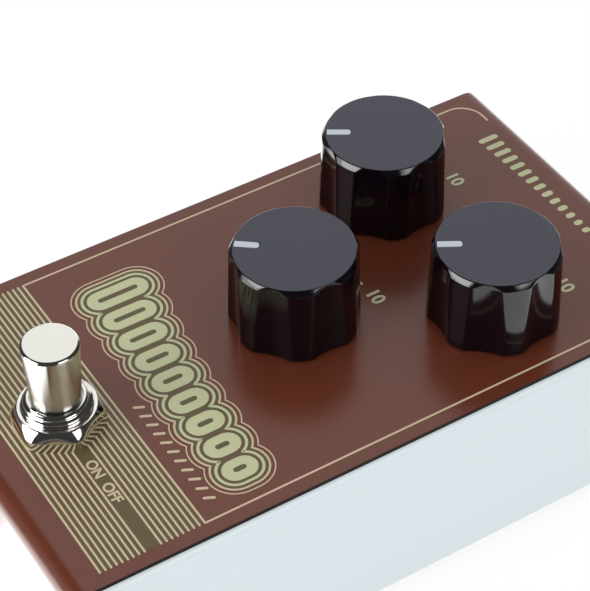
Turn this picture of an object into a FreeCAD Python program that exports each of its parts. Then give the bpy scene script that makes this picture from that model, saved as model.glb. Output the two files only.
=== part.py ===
"""Delay pedal: a folded metal case with three knobs, a footswitch and the works inside.

Millimetres. The origin is the middle of the case's footprint, on the surface that the feet
stand on. X points right and Y to the back as the player sees the pedal, and Z up.
"""
import FreeCAD, Part
import math
import os

import Sketcher
from FreeCAD import Placement, Rotation, Vector

# Driving sizes: alias, millimetres or degrees, what it is
DRIVING = [
    ("case_width", 72.0, "over the side walls"),
    ("case_length", 126.0, "front face to back face"),
    ("case_height", 35.6, "underside of the tray to the top of the cover"),
    ("mat_sheet", 2.0, "rubber mat stuck under the tray"),
    ("mat_inset_x", 4.0, "mat's edge from the side"),
    ("mat_inset_y", 10.5, "mat's edge from the front and back"),
    ("mat_corner", 4.0, "corner radius of the mat"),
    ("cover_width", 70.0, "cover across its cut edges"),
    ("cover_sheet", 0.8, "thickness of the cover's sheet"),
    ("cover_bend", 3.3, "outer radius of the top's bends"),
    ("lip_bend", 1.3, "outer radius of the lips' bends"),
    ("lip_reach", 9.0, "lip from the front or back face inwards"),
    ("lip_gap", 0.5, "lip short of the side wall"),
    ("tray_sheet", 1.0, "thickness of the tray's sheet"),
    ("tray_bend", 1.3, "outer radius of the wall's top bend"),
    ("floor_bend", 1.5, "outer radius of the floor's bends"),
    ("flange_reach", 3.4, "wall's top flange, from the outer face inwards"),
    ("flange_relief", 4.0, "flange short of the wall's end"),
    ("screw_inset_x", 7.0, "cover screw from the side"),
    ("screw_inset_y", 6.0, "cover screw from the front and back"),
    ("screw_radius", 1.5, "M3 shank"),
    ("screw_clearance", 0.2, "floor hole round the shank"),
    ("screw_head_radius", 2.75, "pan head"),
    ("screw_head_height", 1.4, "pan head"),
    ("screw_slot", 0.8, "width of the slot in the head"),
    ("screw_slot_depth", 0.7, "depth of the slot in the head"),
    ("screw_end", 2.0, "shank past the lip"),
    ("time_x", -17.45, "left knob"),
    ("time_from_front", 92.28, "left knob"),
    ("mix_x", 17.45, "right knob"),
    ("mix_from_front", 92.28, "right knob"),
    ("repeats_x", 0.0, "front knob"),
    ("repeats_from_front", 62.46, "front knob"),
    ("time_rest_angle", 237.5, "pointer at its lowest stop, from +X"),
    ("mix_rest_angle", 239.5, "pointer at its lowest stop, from +X"),
    ("repeats_rest_angle", 231.5, "pointer at its lowest stop, from +X"),
    ("pot_width", 9.5, "potentiometer body, X"),
    ("pot_front", 6.0, "potentiometer body, axis to its pin side"),
    ("pot_back", 5.0, "potentiometer body, axis to its far side"),
    ("pot_height", 6.8, "potentiometer body, board to cover"),
    ("pot_corner", 0.8, "corner radius of the body"),
    ("pot_bore_floor", 1.6, "floor under the shaft"),
    ("pot_bushing_radius", 3.5, "M7 thread"),
    ("pot_bushing_height", 5.0, "bushing above the body"),
    ("pot_hole_clearance", 0.1, "cover hole round the bushing"),
    ("pot_nut_flats", 10.0, "across flats"),
    ("pot_nut_height", 2.0, "nut height"),
    ("pin_width", 0.8, "potentiometer pin, both ways"),
    ("pin_pitch", 2.5, "potentiometer pins"),
    ("pin_reach", 1.6, "pin out of the body's side"),
    ("pin_rise", 0.6, "pin above the board"),
    ("journal_radius", 2.5, "shaft inside its bushing"),
    ("journal_clearance", 0.05, "running gap round the journal"),
    ("shaft_radius", 3.0, "shaft above the bushing"),
    ("shaft_height", 13.1, "shaft top above the cover"),
    ("shaft_gap", 0.3, "shoulder above the bushing, end above the floor"),
    ("knob_gap", 0.4, "knob above the cover"),
    ("knob_height", 15.7, "knob, bottom edge to face"),
    ("knob_base_radius", 11.75, "over the lobes at the bottom"),
    ("knob_rim_radius", 11.25, "over the lobes below the chamfer"),
    ("knob_face_radius", 10.5, "flat face"),
    ("knob_chamfer", 1.0, "height of the chamfer round the face"),
    ("knob_recess_radius", 8.5, "hollow over the nut"),
    ("knob_recess_depth", 5.0, "hollow over the nut"),
    ("flute_count", 7, "flutes round the knob"),
    ("flute_radius", 11.5, "hollow curve of one flute"),
    ("flute_floor", 10.65, "knob axis to the deepest line of a flute"),
    ("pointer_width", 1.6, "pointer groove"),
    ("pointer_start", 5.9, "knob axis to the groove's inner end"),
    ("pointer_corner", 0.5, "rounding of the groove's inner end"),
    ("pointer_groove", 0.9, "groove depth"),
    ("pointer_sunk", 0.3, "inlay below the face"),
    ("knob_bore_above", 0.3, "knob's bore above the shaft's end"),
    ("grub_radius", 1.5, "M3 grub screw"),
    ("grub_length", 5.5, "grub screw"),
    ("grub_height", 8.5, "grub screw's axis above the knob's bottom"),
    ("grub_socket", 0.75, "half of the hexagon socket's flats"),
    ("grub_socket_depth", 1.5, "socket"),
    ("switch_from_front", 16.2, "footswitch axis"),
    ("switch_thread_radius", 6.0, "M12 bushing"),
    ("switch_stand", 5.9, "bushing above the cover"),
    ("switch_bushing_length", 11.5, "bushing, whole"),
    ("switch_ring_radius", 4.95, "flat ring on the bushing's top"),
    ("switch_ring_drop", 0.9, "height of the bushing's top chamfer"),
    ("switch_bore_radius", 4.8, "bushing's bore"),
    ("switch_mouth_radius", 4.6, "lip at the bore's mouth"),
    ("switch_mouth_height", 0.8, "lip at the bore's mouth"),
    ("switch_hole_clearance", 0.1, "cover hole round the bushing"),
    ("switch_nut_flats", 14.9, "across flats"),
    ("switch_nut_height", 3.9, "outer nut"),
    ("switch_nut_face", 6.8, "radius of the nut's flat top ring"),
    ("switch_nut_corner", 8.2, "radius over the nut's turned corners"),
    ("switch_nut_side", 2.1, "height of the turned corners, under the slope"),
    ("switch_nut_turn", 359.0, "a corner of the nut, from +X"),
    ("inner_nut_height", 2.4, "nut under the cover"),
    ("button_top", 18.2, "button's flat above the cover"),
    ("button_radius", 4.95, "button just below its rounded edge"),
    ("button_edge", 0.6, "chamfer of the button's edge"),
    ("button_neck", 4.28, "button where it enters the bushing"),
    ("button_guide_clearance", 0.05, "running gap of the guide"),
    ("button_guide_length", 4.6, "guide inside the bushing"),
    ("button_stop_gap", 0.1, "guide below the lip when up"),
    ("button_travel", 3.5, "button's stroke"),
    ("stem_radius", 1.5, "button's stem"),
    ("stem_gap", 0.5, "stem above its bore's floor when pressed"),
    ("stem_clearance", 0.25, "gap round the stem in the body"),
    ("spring_inner", 3.0, "inside radius of the spring"),
    ("spring_outer", 3.8, "outside radius of the spring"),
    ("spring_gap", 0.1, "gap at each end of the spring when the button is up"),
    ("switch_body_x", 17.5, "switch body"),
    ("switch_body_y", 17.0, "switch body"),
    ("switch_body_height", 12.5, "switch body"),
    ("switch_well_depth", 3.5, "well for the spring in the body's top"),
    ("switch_body_floor", 2.0, "floor below the stem's bore"),
    ("lug_pitch", 4.8, "nine lugs, three by three"),
    ("lug_width", 2.0, "lug, X"),
    ("lug_sheet", 0.8, "lug, Y"),
    ("lug_length", 5.0, "lug below the body"),
    ("ribbon_sheet", 1.2, "flat cable between switch and board"),
    ("ribbon_margin", 0.6, "flat cable past the outer lugs"),
    ("ribbon_rise", 2.0, "flat cable's underside above the lugs' tips"),
    ("ribbon_bend", 4.0, "outer radius of the flat cable's bend"),
    ("ribbon_inset", 3.0, "flat cable's end from the board's front edge"),
    ("board_half_width", 31.5, "main board, X"),
    ("board_gap", 4.3, "board's front edge behind the switch body"),
    ("board_back", 3.0, "board's back edge from the case's back face"),
    ("board_sheet", 1.6, "main board"),
    ("board_corner", 2.0, "corner radius of the board"),
    ("chip_length", 19.3, "chip in a dual in-line case, X"),
    ("chip_width", 6.4, "chip, Y"),
    ("chip_height", 3.4, "chip, Z"),
    ("chip_left", -16.0, "left column of chips"),
    ("chip_right", 9.0, "right column of chips"),
    ("chip_first_row", 8.0, "first row of chips from the board's front edge"),
    ("chip_row_pitch", 12.0, "between the rows of chips"),
    ("film_length", 7.2, "film capacitor, X"),
    ("film_width", 2.6, "film capacitor, Y"),
    ("film_height", 6.0, "film capacitor, Z"),
    ("film_left", -24.0, "row of film capacitors"),
    ("film_first", 40.0, "first film capacitor from the board's front edge"),
    ("film_pitch", 5.0, "between film capacitors"),
    ("film_count", 4, "film capacitors"),
    ("can_radius", 3.15, "electrolytic capacitor"),
    ("can_height", 7.0, "electrolytic capacitor"),
    ("can_x", 9.0, "electrolytic capacitors from the middle"),
    ("can_first", 42.0, "first electrolytic capacitors from the board's front edge"),
    ("led_from_front", 104.0, "lamp axis"),
    ("led_radius", 2.5, "lamp"),
    ("led_flange_radius", 2.9, "lamp's foot flange"),
    ("led_flange_height", 1.0, "lamp's foot flange"),
    ("led_stand", 2.5, "lamp's top above the cover"),
    ("led_crown_drop", 1.6, "height of the lamp's sloped crown"),
    ("led_crown_radius", 1.3, "flat in the middle of the crown"),
    ("led_hole_clearance", 0.1, "cover hole round the lamp"),
    ("led_spacer_height", 1.5, "spacer under the lamp"),
    ("led_leg", 0.5, "lamp's legs"),
    ("led_leg_pitch", 2.54, "lamp's legs"),
    ("jack_x", 22.0, "jack axis from the middle"),
    ("jack_drop", 6.5, "jack axes below the board"),
    ("jack_width", 16.0, "jack body, X"),
    ("jack_height", 13.0, "jack body, Z"),
    ("jack_depth", 24.0, "jack body, Y"),
    ("jack_corner", 1.0, "corner radius of the jack body"),
    ("jack_bore_radius", 3.9, "plug's way inside the body"),
    ("jack_bore_depth", 21.0, "plug's way inside the body"),
    ("jack_thread_radius", 4.5, "M9 bushing"),
    ("jack_plug_radius", 3.25, "bushing's bore for a 6.35 plug"),
    ("jack_bushing_length", 12.0, "bushing, whole"),
    ("jack_bushing_stand", 4.0, "bushing past the cover's inner face"),
    ("jack_hole_clearance", 0.15, "cover hole round the bushing"),
    ("jack_nut_flats", 12.0, "across flats"),
    ("jack_nut_height", 2.0, "nut"),
    ("contact_width", 2.4, "tip contact, Z"),
    ("contact_sheet", 0.4, "tip contact"),
    ("contact_offset", 2.9, "tip contact's back from the jack's axis"),
    ("contact_bump", 0.9, "tip contact's bend towards the axis"),
    ("contact_run", 3.0, "one stretch of the tip contact"),
    ("dc_width", 9.0, "power jack body, X"),
    ("dc_height", 11.0, "power jack body, Z"),
    ("dc_depth", 14.0, "power jack body, Y"),
    ("dc_nose_radius", 4.4, "round nose in the cover's hole"),
    ("dc_nose_clearance", 0.3, "cover hole round the nose"),
    ("dc_bore_radius", 2.75, "socket for a 5.5 plug"),
    ("dc_bore_depth", 9.5, "socket"),
    ("dc_pin_radius", 1.05, "centre pin for a 2.1 plug"),
    ("dc_pin_short", 0.8, "pin's tip inside the nose's end"),
    ("dc_contact_width", 2.0, "sleeve contact, X"),
    ("dc_contact_sheet", 0.4, "sleeve contact"),
    ("battery_length", 46.4, "battery, X"),
    ("battery_width", 26.5, "battery, Y"),
    ("battery_height", 17.5, "battery, Z"),
    ("battery_corner", 2.0, "corner radius of the battery"),
    ("battery_left", -30.0, "battery's blind end"),
    ("battery_from_front", 35.7, "battery's front face"),
    ("pad_sheet", 2.0, "foam under the battery"),
    ("pad_margin", 1.0, "foam inside the battery's outline"),
    ("terminal_length", 2.0, "battery terminals"),
    ("terminal_small", 2.9, "radius of the plus terminal"),
    ("terminal_large", 4.2, "radius of the minus terminal"),
    ("terminal_pitch", 12.7, "between the terminals"),
    ("snap_sheet", 4.0, "battery snap, X"),
    ("snap_width", 25.0, "battery snap, Y"),
    ("snap_height", 12.5, "battery snap, Z"),
    ("snap_corner", 3.0, "corner radius of the snap"),
    ("lead_radius", 0.6, "battery lead"),
    ("lead_apart", 4.0, "each lead from the snap's middle"),
]

doc = FreeCAD.newDocument("delay_pedal")
sheet = doc.addObject("Spreadsheet::Sheet", "Sizes")
for row, (alias, value, note) in enumerate(DRIVING, 1):
    sheet.set(f"A{row}", note)
    sheet.set(f"B{row}", str(value))
    sheet.setAlias(f"B{row}", alias)
doc.recompute()

nodes = []


class Size:
    """A length in two forms: words that an expression can bind, and its present number."""

    def __init__(self, words, number):
        self.words = words
        self.number = number

    def joined(self, sign, other, number):
        return Size(f"({self.words} {sign} {other.words})", number)

    def __add__(self, other):
        other = size(other)
        return self.joined("+", other, self.number + other.number)

    def __sub__(self, other):
        other = size(other)
        return self.joined("-", other, self.number - other.number)

    def __mul__(self, other):
        other = size(other)
        return self.joined("*", other, self.number * other.number)

    def __truediv__(self, other):
        other = size(other)
        return self.joined("/", other, self.number / other.number)

    def __neg__(self):
        return Size(f"(0 - {self.words})", -self.number)


def size(value):
    """A Size as it is, or a plain number made into one."""
    return value if isinstance(value, Size) else Size(f"({value})", float(value))


class Sheet:
    """The driving sizes by name, such as S.case_width."""

    def __getattr__(self, alias):
        return Size(f"Sizes.{alias}", float(sheet.get(alias)))


S = Sheet()
SQUARE_ROOT_3 = math.sqrt(3)

# Places that several pieces share, worked out from the driving sizes
FRONT = -(S.case_length / 2)
BACK = S.case_length / 2
BACK_INNER = BACK - S.cover_sheet
FLOOR = S.mat_sheet + S.tray_sheet
TOP = S.mat_sheet + S.case_height
CEILING = TOP - S.cover_sheet
BOARD_TOP = CEILING - S.pot_height
BOARD_UNDER = BOARD_TOP - S.board_sheet
BUSHING_TOP = CEILING + S.pot_bushing_height
SWITCH_Y = FRONT + S.switch_from_front
SWITCH_BODY_TOP = TOP + S.switch_stand - S.switch_bushing_length
BOARD_FRONT = SWITCH_Y + S.switch_body_y / 2 + S.board_gap
JACK_Z = BOARD_UNDER - S.jack_drop
BATTERY_FLOOR = FLOOR + S.pad_sheet
BATTERY_Y = FRONT + S.battery_from_front + S.battery_width / 2
BATTERY_Z = BATTERY_FLOOR + S.battery_height / 2
SNAP_LEFT = S.battery_left + S.battery_length + S.terminal_length
CONTROLS = {
    "time": (S.time_x, FRONT + S.time_from_front, S.time_rest_angle),
    "repeats": (S.repeats_x, FRONT + S.repeats_from_front, S.repeats_rest_angle),
    "mix": (S.mix_x, FRONT + S.mix_from_front, S.mix_rest_angle),
}


def bind(item, path, value):
    """Tie one property of an object to a size."""
    item.setExpression(path, size(value).words)


def place(item, at, rotation=None):
    """Put an object at three sizes, turned if asked."""
    if rotation is not None:
        item.Placement = Placement(Vector(), rotation)
    for axis, value in zip("xyz", at):
        bind(item, f"Placement.Base.{axis}", value)
    return item


def make_body(label, at=(0, 0, 0), rotation=None):
    """An empty body with its own label and place."""
    item = doc.addObject("PartDesign::Body", label)
    item.Label = label
    return place(item, at, rotation)


def node(item):
    """Keep an object as one of the exported sub-parts."""
    nodes.append(item)
    return item


def group(label, members):
    """Alike pieces that share one node, each still a solid of its own."""
    item = doc.addObject("Part::Compound", label)
    item.Label = label
    item.Links = members
    return node(item)


def sketch(body, plane, lift=None):
    """An empty sketch on one of the body's origin planes, lifted along the plane's normal."""
    item = body.newObject("Sketcher::SketchObject", f"{body.Name}_outline")
    origin_plane = next(f for f in body.Origin.OriginFeatures if f.Role == f"{plane}_Plane")
    item.AttachmentSupport = (origin_plane, [""])
    item.MapMode = "FlatFace"
    if lift is not None:
        bind(item, "AttachmentOffset.Base.z", lift)
    return item


def hold(item, kind, references, value):
    """Add one dimension to a sketch and tie it to a size."""
    index = item.addConstraint(Sketcher.Constraint(kind, *references, value.number))
    item.setExpression(f"Constraints[{index}]", value.words)


def hold_point(item, geometry, end, x, y):
    """Hold a point of a sketch at two sizes from the sketch's origin."""
    hold(item, "DistanceX", (-1, 1, geometry, end), x)
    hold(item, "DistanceY", (-1, 1, geometry, end), y)


def unit(start, finish):
    """The direction from one corner to another."""
    step = Vector(finish[0].number - start[0].number, finish[1].number - start[1].number)
    return step.normalize()


def outline(item, corners):
    """A closed outline. A corner is (x, y), or (x, y, radius) where it is square and rounded."""
    corners = [tuple(size(value) for value in corner) for corner in corners]
    count = len(corners)
    starts, finishes, arcs = [], [], {}
    for index, corner in enumerate(corners):
        point = Vector(corner[0].number, corner[1].number)
        if len(corner) == 2:
            starts.append(point)
            finishes.append(point)
            continue
        coming = unit(corners[index - 1], corner)
        going = unit(corner, corners[(index + 1) % count])
        radius = corner[2].number
        finishes.append(point - coming * radius)
        starts.append(point + going * radius)
        centre = point + (going - coming) * radius
        arcs[index] = (centre, going - coming, coming.cross(going).z > 0)
    first = item.GeometryCount
    for index in range(count):
        line = Part.LineSegment(starts[index], finishes[(index + 1) % count])
        item.addGeometry(line, False)
    for index, corner in enumerate(corners):
        before = first + (index - 1) % count
        after = first + index
        if index not in arcs:
            item.addConstraint(Sketcher.Constraint("Coincident", before, 2, after, 1))
            hold_point(item, after, 1, corner[0], corner[1])
            continue
        centre, inwards, turns_left = arcs[index]
        ends = [finishes[index], starts[index]]
        if not turns_left:
            ends.reverse()
        angles = [math.atan2(end.y - centre.y, end.x - centre.x) for end in ends]
        circle = Part.Circle(centre, Vector(0, 0, 1), corner[2].number)
        arc = item.addGeometry(Part.ArcOfCircle(circle, *angles), False)
        first_end, second_end = (1, 2) if turns_left else (2, 1)
        item.addConstraint(Sketcher.Constraint("Tangent", before, 2, arc, first_end))
        item.addConstraint(Sketcher.Constraint("Tangent", after, 1, arc, second_end))
        hold(item, "Radius", (arc,), corner[2])
        x = corner[0] + corner[2] * round(inwards.x)
        y = corner[1] + corner[2] * round(inwards.y)
        hold_point(item, arc, 3, x, y)
    return item


def rectangle(item, x0, x1, y0, y1, radius=None):
    """A rectangle between four sizes, its corners rounded if asked."""
    extra = () if radius is None else (radius,)
    return outline(item, [(x0, y0, *extra), (x1, y0, *extra), (x1, y1, *extra), (x0, y1, *extra)])


def hexagon(item, flats):
    """A regular hexagon about the sketch's origin, one corner on its X axis."""
    corner = flats / SQUARE_ROOT_3
    side = flats / 2
    return outline(item, [(corner, 0), (corner / 2, side), (-corner / 2, side),
                          (-corner, 0), (-corner / 2, -side), (corner / 2, -side)])


def circle(item, x, y, radius):
    """A circle at two sizes."""
    x, y = size(x), size(y)
    centre = Vector(x.number, y.number)
    ring = item.addGeometry(Part.Circle(centre, Vector(0, 0, 1), radius.number), False)
    hold(item, "Radius", (ring,), radius)
    hold_point(item, ring, 3, x, y)
    return item


def extrude(kind, body, profile, length, both_ways, backwards):
    """A pad or pocket of a sketch, with no length where it goes right through."""
    feature = body.newObject(f"PartDesign::{kind}", f"{body.Name}_{kind}")
    feature.Profile = profile
    feature.Midplane = both_ways
    feature.Reversed = backwards
    if length is None:
        feature.Type = "ThroughAll"
    else:
        bind(feature, "Length", length)
    return feature


def pad(body, profile, length, both_ways=False, backwards=False):
    return extrude("Pad", body, profile, length, both_ways, backwards)


def pocket(body, profile, length=None, both_ways=False, backwards=False):
    return extrude("Pocket", body, profile, length, both_ways, backwards)


def spin(kind, body, corners):
    """A revolution or groove of an outline, given as radius and height, about the body's Z."""
    profile = outline(sketch(body, "XZ"), corners)
    feature = body.newObject(f"PartDesign::{kind}", f"{body.Name}_{kind}")
    feature.Profile = profile
    feature.ReferenceAxis = (profile, ["V_Axis"])
    feature.Angle = 360
    return feature


def tube(body, inner, outer, height):
    """A ring standing on the body's own XY plane."""
    return spin("Revolution", body, [(inner, 0), (outer, 0), (outer, height), (inner, height)])


def nut(label, at, rotation, flats, bore, height, turning=None):
    """A hexagon nut. Turning gives its round face, its corners' radius and their height."""
    item = make_body(label, at, rotation)
    profile = hexagon(sketch(item, "XY"), flats)
    circle(profile, 0, 0, bore)
    pad(item, profile, height)
    if turning is None:
        return item
    face, corner, side = turning
    beyond = flats
    spin("Groove", item, [
        (face, height), (corner, side), (corner, 0), (beyond, 0), (beyond, height)])
    return item


def corner_places(inset_x, inset_y):
    """The four places at equal insets from the case's corners."""
    x = S.case_width / 2 - inset_x
    y = BACK - inset_y
    return [(-x, -y), (x, -y), (x, y), (-x, y)]


def make_cover():
    """Top, front and back in one bent sheet, with lips turned in along the floor."""
    cover = node(make_body("top_cover"))
    inner_bend = S.cover_bend - S.cover_sheet
    inner_lip_bend = S.lip_bend - S.cover_sheet
    lip_end = BACK - S.lip_reach
    lip_top = FLOOR + S.cover_sheet
    section = sketch(cover, "YZ")
    outline(section, [
        (-lip_end, FLOOR), (-BACK, FLOOR, S.lip_bend), (-BACK, TOP, S.cover_bend),
        (BACK, TOP, S.cover_bend), (BACK, FLOOR, S.lip_bend), (lip_end, FLOOR),
        (lip_end, lip_top), (BACK_INNER, lip_top, inner_lip_bend),
        (BACK_INNER, CEILING, inner_bend), (-BACK_INNER, CEILING, inner_bend),
        (-BACK_INNER, lip_top, inner_lip_bend), (-lip_end, lip_top)])
    pad(cover, section, S.cover_width, both_ways=True)

    lip_sides = sketch(cover, "XY", FLOOR)
    edge = S.cover_width / 2
    for low_x, high_x in ((-edge, S.lip_gap - edge), (edge - S.lip_gap, edge)):
        rectangle(lip_sides, low_x, high_x, -BACK_INNER, -lip_end)
        rectangle(lip_sides, low_x, high_x, lip_end, BACK_INNER)
    pocket(cover, lip_sides, S.lip_bend, backwards=True)

    controls = sketch(cover, "XY", TOP)
    for x, y, _ in CONTROLS.values():
        circle(controls, x, y, S.pot_bushing_radius + S.pot_hole_clearance)
    circle(controls, 0, SWITCH_Y, S.switch_thread_radius + S.switch_hole_clearance)
    circle(controls, 0, FRONT + S.led_from_front, S.led_radius + S.led_hole_clearance)
    pocket(cover, controls, S.cover_sheet * 2)

    sockets = sketch(cover, "XZ", -BACK_INNER)
    for x in (-S.jack_x, S.jack_x):
        circle(sockets, x, JACK_Z, S.jack_thread_radius + S.jack_hole_clearance)
    circle(sockets, 0, JACK_Z, S.dc_nose_radius + S.dc_nose_clearance)
    pocket(cover, sockets, S.cover_sheet * 2)

    threads = sketch(cover, "XY", lip_top)
    for x, y in corner_places(S.screw_inset_x, S.screw_inset_y):
        circle(threads, x, y, S.screw_radius)
    pocket(cover, threads, S.cover_sheet * 2)


def make_tray():
    """Floor and both side walls in one bent sheet, the walls' tops turned in under the cover."""
    tray = node(make_body("base_tray"))
    wall = S.case_width / 2
    inside = wall - S.tray_sheet
    flange = wall - S.flange_reach
    under_flange = CEILING - S.tray_sheet
    inner_bend = S.tray_bend - S.tray_sheet
    inner_floor_bend = S.floor_bend - S.tray_sheet
    section = sketch(tray, "XZ")
    outline(section, [
        (-wall, S.mat_sheet, S.floor_bend), (wall, S.mat_sheet, S.floor_bend),
        (wall, CEILING, S.tray_bend), (flange, CEILING), (flange, under_flange),
        (inside, under_flange, inner_bend), (inside, FLOOR, inner_floor_bend),
        (-inside, FLOOR, inner_floor_bend), (-inside, under_flange, inner_bend),
        (-flange, under_flange), (-flange, CEILING), (-wall, CEILING, S.tray_bend)])
    pad(tray, section, BACK_INNER * 2, both_ways=True)

    relief = sketch(tray, "XY", CEILING)
    flange_end = BACK_INNER - S.flange_relief
    for low_x, high_x in ((-inside, -flange), (flange, inside)):
        rectangle(relief, low_x - inner_bend, high_x + inner_bend, -BACK, -flange_end)
        rectangle(relief, low_x - inner_bend, high_x + inner_bend, flange_end, BACK)
    pocket(tray, relief, S.tray_sheet + inner_bend)

    wall_ends = sketch(tray, "YZ")
    beyond = BACK + S.cover_bend
    rectangle(wall_ends, -beyond, beyond, 0, TOP)
    low = S.mat_sheet / 2
    inner_cover_bend = S.cover_bend - S.cover_sheet
    outline(wall_ends, [
        (-BACK_INNER, low), (BACK_INNER, low), (BACK_INNER, CEILING, inner_cover_bend),
        (-BACK_INNER, CEILING, inner_cover_bend)])
    pocket(tray, wall_ends, both_ways=True)

    floor_ends = sketch(tray, "XY", S.mat_sheet)
    rectangle(floor_ends, S.floor_bend - wall, wall - S.floor_bend, -BACK, BACK)
    pad(tray, floor_ends, S.tray_sheet)

    holes = sketch(tray, "XY", FLOOR)
    for x, y in corner_places(S.screw_inset_x, S.screw_inset_y):
        circle(holes, x, y, S.screw_radius + S.screw_clearance)
    pocket(tray, holes, S.tray_sheet * 2)


def make_mat():
    """The rubber mat that the pedal stands on, stuck to the floor clear of the screw heads."""
    mat = node(make_body("rubber_mat"))
    half_x = S.case_width / 2 - S.mat_inset_x
    half_y = BACK - S.mat_inset_y
    rectangle(sketch(mat, "XY"), -half_x, half_x, -half_y, half_y, S.mat_corner)
    pad(mat, mat.Group[-1], S.mat_sheet)


def make_cover_screws():
    """Four pan-head screws from below, through the floor into the cover's lips."""
    screws = []
    shank = S.tray_sheet + S.cover_sheet + S.screw_end
    slot = S.screw_slot / 2
    beyond = S.screw_head_radius * 2
    for x, y in corner_places(S.screw_inset_x, S.screw_inset_y):
        screw = make_body("cover_screw", (x, y, S.mat_sheet))
        spin("Revolution", screw, [
            (0, -S.screw_head_height), (S.screw_head_radius, -S.screw_head_height),
            (S.screw_head_radius, 0), (S.screw_radius, 0), (S.screw_radius, shank), (0, shank)])
        across = sketch(screw, "XY", -S.screw_head_height)
        rectangle(across, -beyond, beyond, -slot, slot)
        pocket(screw, across, S.screw_slot_depth, backwards=True)
        screws.append(screw)
    group("cover_screws", screws)


def make_pots():
    """The three potentiometers' fixed pieces, hung from the cover by their nuts."""
    nuts, pins = [], []
    bore = S.journal_radius + S.journal_clearance
    half = S.pot_width / 2
    for name, (x, y, _) in CONTROLS.items():
        pot = node(make_body(f"{name}_pot_body", (x, y, BOARD_TOP)))
        rectangle(sketch(pot, "XY"), -half, half, -S.pot_front, S.pot_back, S.pot_corner)
        pad(pot, pot.Group[-1], S.pot_height)
        bushing_top = S.pot_height + S.pot_bushing_height
        pad(pot, circle(sketch(pot, "XY"), 0, 0, S.pot_bushing_radius), bushing_top)
        well = circle(sketch(pot, "XY", bushing_top), 0, 0, bore)
        pocket(pot, well, bushing_top - S.pot_bore_floor)
        nuts.append(nut("pot_nut", (x, y, TOP), None, S.pot_nut_flats, S.pot_bushing_radius,
                        S.pot_nut_height))

        outer = S.pot_front + S.pin_reach
        inner = outer - S.pin_width
        rise = S.pin_rise + S.pin_width
        for step in (-1, 0, 1):
            pin = make_body("pot_pin", (x + S.pin_pitch * step, y, BOARD_TOP))
            side = outline(sketch(pin, "YZ"), [
                (-S.pot_front, rise), (-outer, rise), (-outer, 0), (-inner, 0),
                (-inner, S.pin_rise), (-S.pot_front, S.pin_rise)])
            pad(pin, side, S.pin_width, both_ways=True)
            pins.append(pin)
    group("pot_nuts", nuts)
    group("pot_pins", pins)


def make_knobs():
    """Shaft, grub screw, fluted knob and pointer inlay of each control."""
    knob_floor = TOP + S.knob_gap
    shaft_top = S.shaft_height - S.knob_gap
    ceiling = shaft_top + S.knob_bore_above
    chamfer_slope = (S.knob_rim_radius - S.knob_face_radius) / S.knob_chamfer
    groove_floor = S.knob_height - S.pointer_groove
    inlay_top = S.knob_height - S.pointer_sunk
    for name, (x, y, angle) in CONTROLS.items():
        turned = Rotation(Vector(0, 0, 1), angle.number)
        at = (x, y, knob_floor)

        shaft = node(make_body(f"{name}_shaft", at, turned))
        foot = BOARD_TOP + S.pot_bore_floor + S.shaft_gap - knob_floor
        shoulder = BUSHING_TOP + S.shaft_gap - knob_floor
        spin("Revolution", shaft, [
            (0, foot), (S.journal_radius, foot), (S.journal_radius, shoulder),
            (S.shaft_radius, shoulder), (S.shaft_radius, shaft_top), (0, shaft_top)])

        knob = node(make_body(f"{name}_knob", at, turned))
        spin("Revolution", knob, [
            (S.shaft_radius, S.knob_recess_depth), (S.knob_recess_radius, S.knob_recess_depth),
            (S.knob_recess_radius, 0), (S.knob_base_radius, 0),
            (S.knob_rim_radius, S.knob_height - S.knob_chamfer),
            (S.knob_face_radius, S.knob_height), (0, S.knob_height), (0, ceiling),
            (S.shaft_radius, ceiling)])
        flute = circle(sketch(knob, "XY"), -S.flute_floor - S.flute_radius, 0, S.flute_radius)
        first_flute = pocket(knob, flute, backwards=True)
        flutes = knob.newObject("PartDesign::PolarPattern", "flutes")
        flutes.Originals = [first_flute]
        flutes.Axis = (flute, ["N_Axis"])
        flutes.Angle = 360
        bind(flutes, "Occurrences", S.flute_count)
        knob.Tip = flutes
        groove = sketch(knob, "XY", S.knob_height)
        outline(groove, pointer_corners(S.knob_base_radius))
        pocket(knob, groove, S.pointer_groove)
        grub_way = circle(sketch(knob, "YZ"), 0, S.grub_height, S.grub_radius)
        pocket(knob, grub_way)

        pointer = node(make_body(f"{name}_pointer", at, turned))
        strip = sketch(pointer, "XY", groove_floor)
        outline(strip, pointer_corners(S.knob_rim_radius))
        pad(pointer, strip, S.pointer_groove - S.pointer_sunk)
        low_end = S.knob_face_radius + S.pointer_groove * chamfer_slope
        high_end = S.knob_face_radius + S.pointer_sunk * chamfer_slope
        beyond = S.knob_base_radius
        end = outline(sketch(pointer, "XZ"), [
            (low_end, groove_floor), (beyond, groove_floor), (beyond, inlay_top),
            (high_end, inlay_top)])
        pocket(pointer, end, both_ways=True)

        grub = node(make_body(f"{name}_knob_screw", at, turned))
        outer_end = S.shaft_radius + S.grub_length
        rod = circle(sketch(grub, "YZ", -outer_end), 0, S.grub_height, S.grub_radius)
        pad(grub, rod, S.grub_length)
        socket = sketch(grub, "YZ", -outer_end)
        socket_corner = S.grub_socket * 2 / SQUARE_ROOT_3
        outline(socket, [
            (socket_corner, S.grub_height), (socket_corner / 2, S.grub_height + S.grub_socket),
            (-socket_corner / 2, S.grub_height + S.grub_socket), (-socket_corner, S.grub_height),
            (-socket_corner / 2, S.grub_height - S.grub_socket),
            (socket_corner / 2, S.grub_height - S.grub_socket)])
        pocket(grub, socket, S.grub_socket_depth, backwards=True)

        for piece in (shaft, knob, pointer, grub):
            bind(piece, "Placement.Rotation.Angle", angle)


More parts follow.
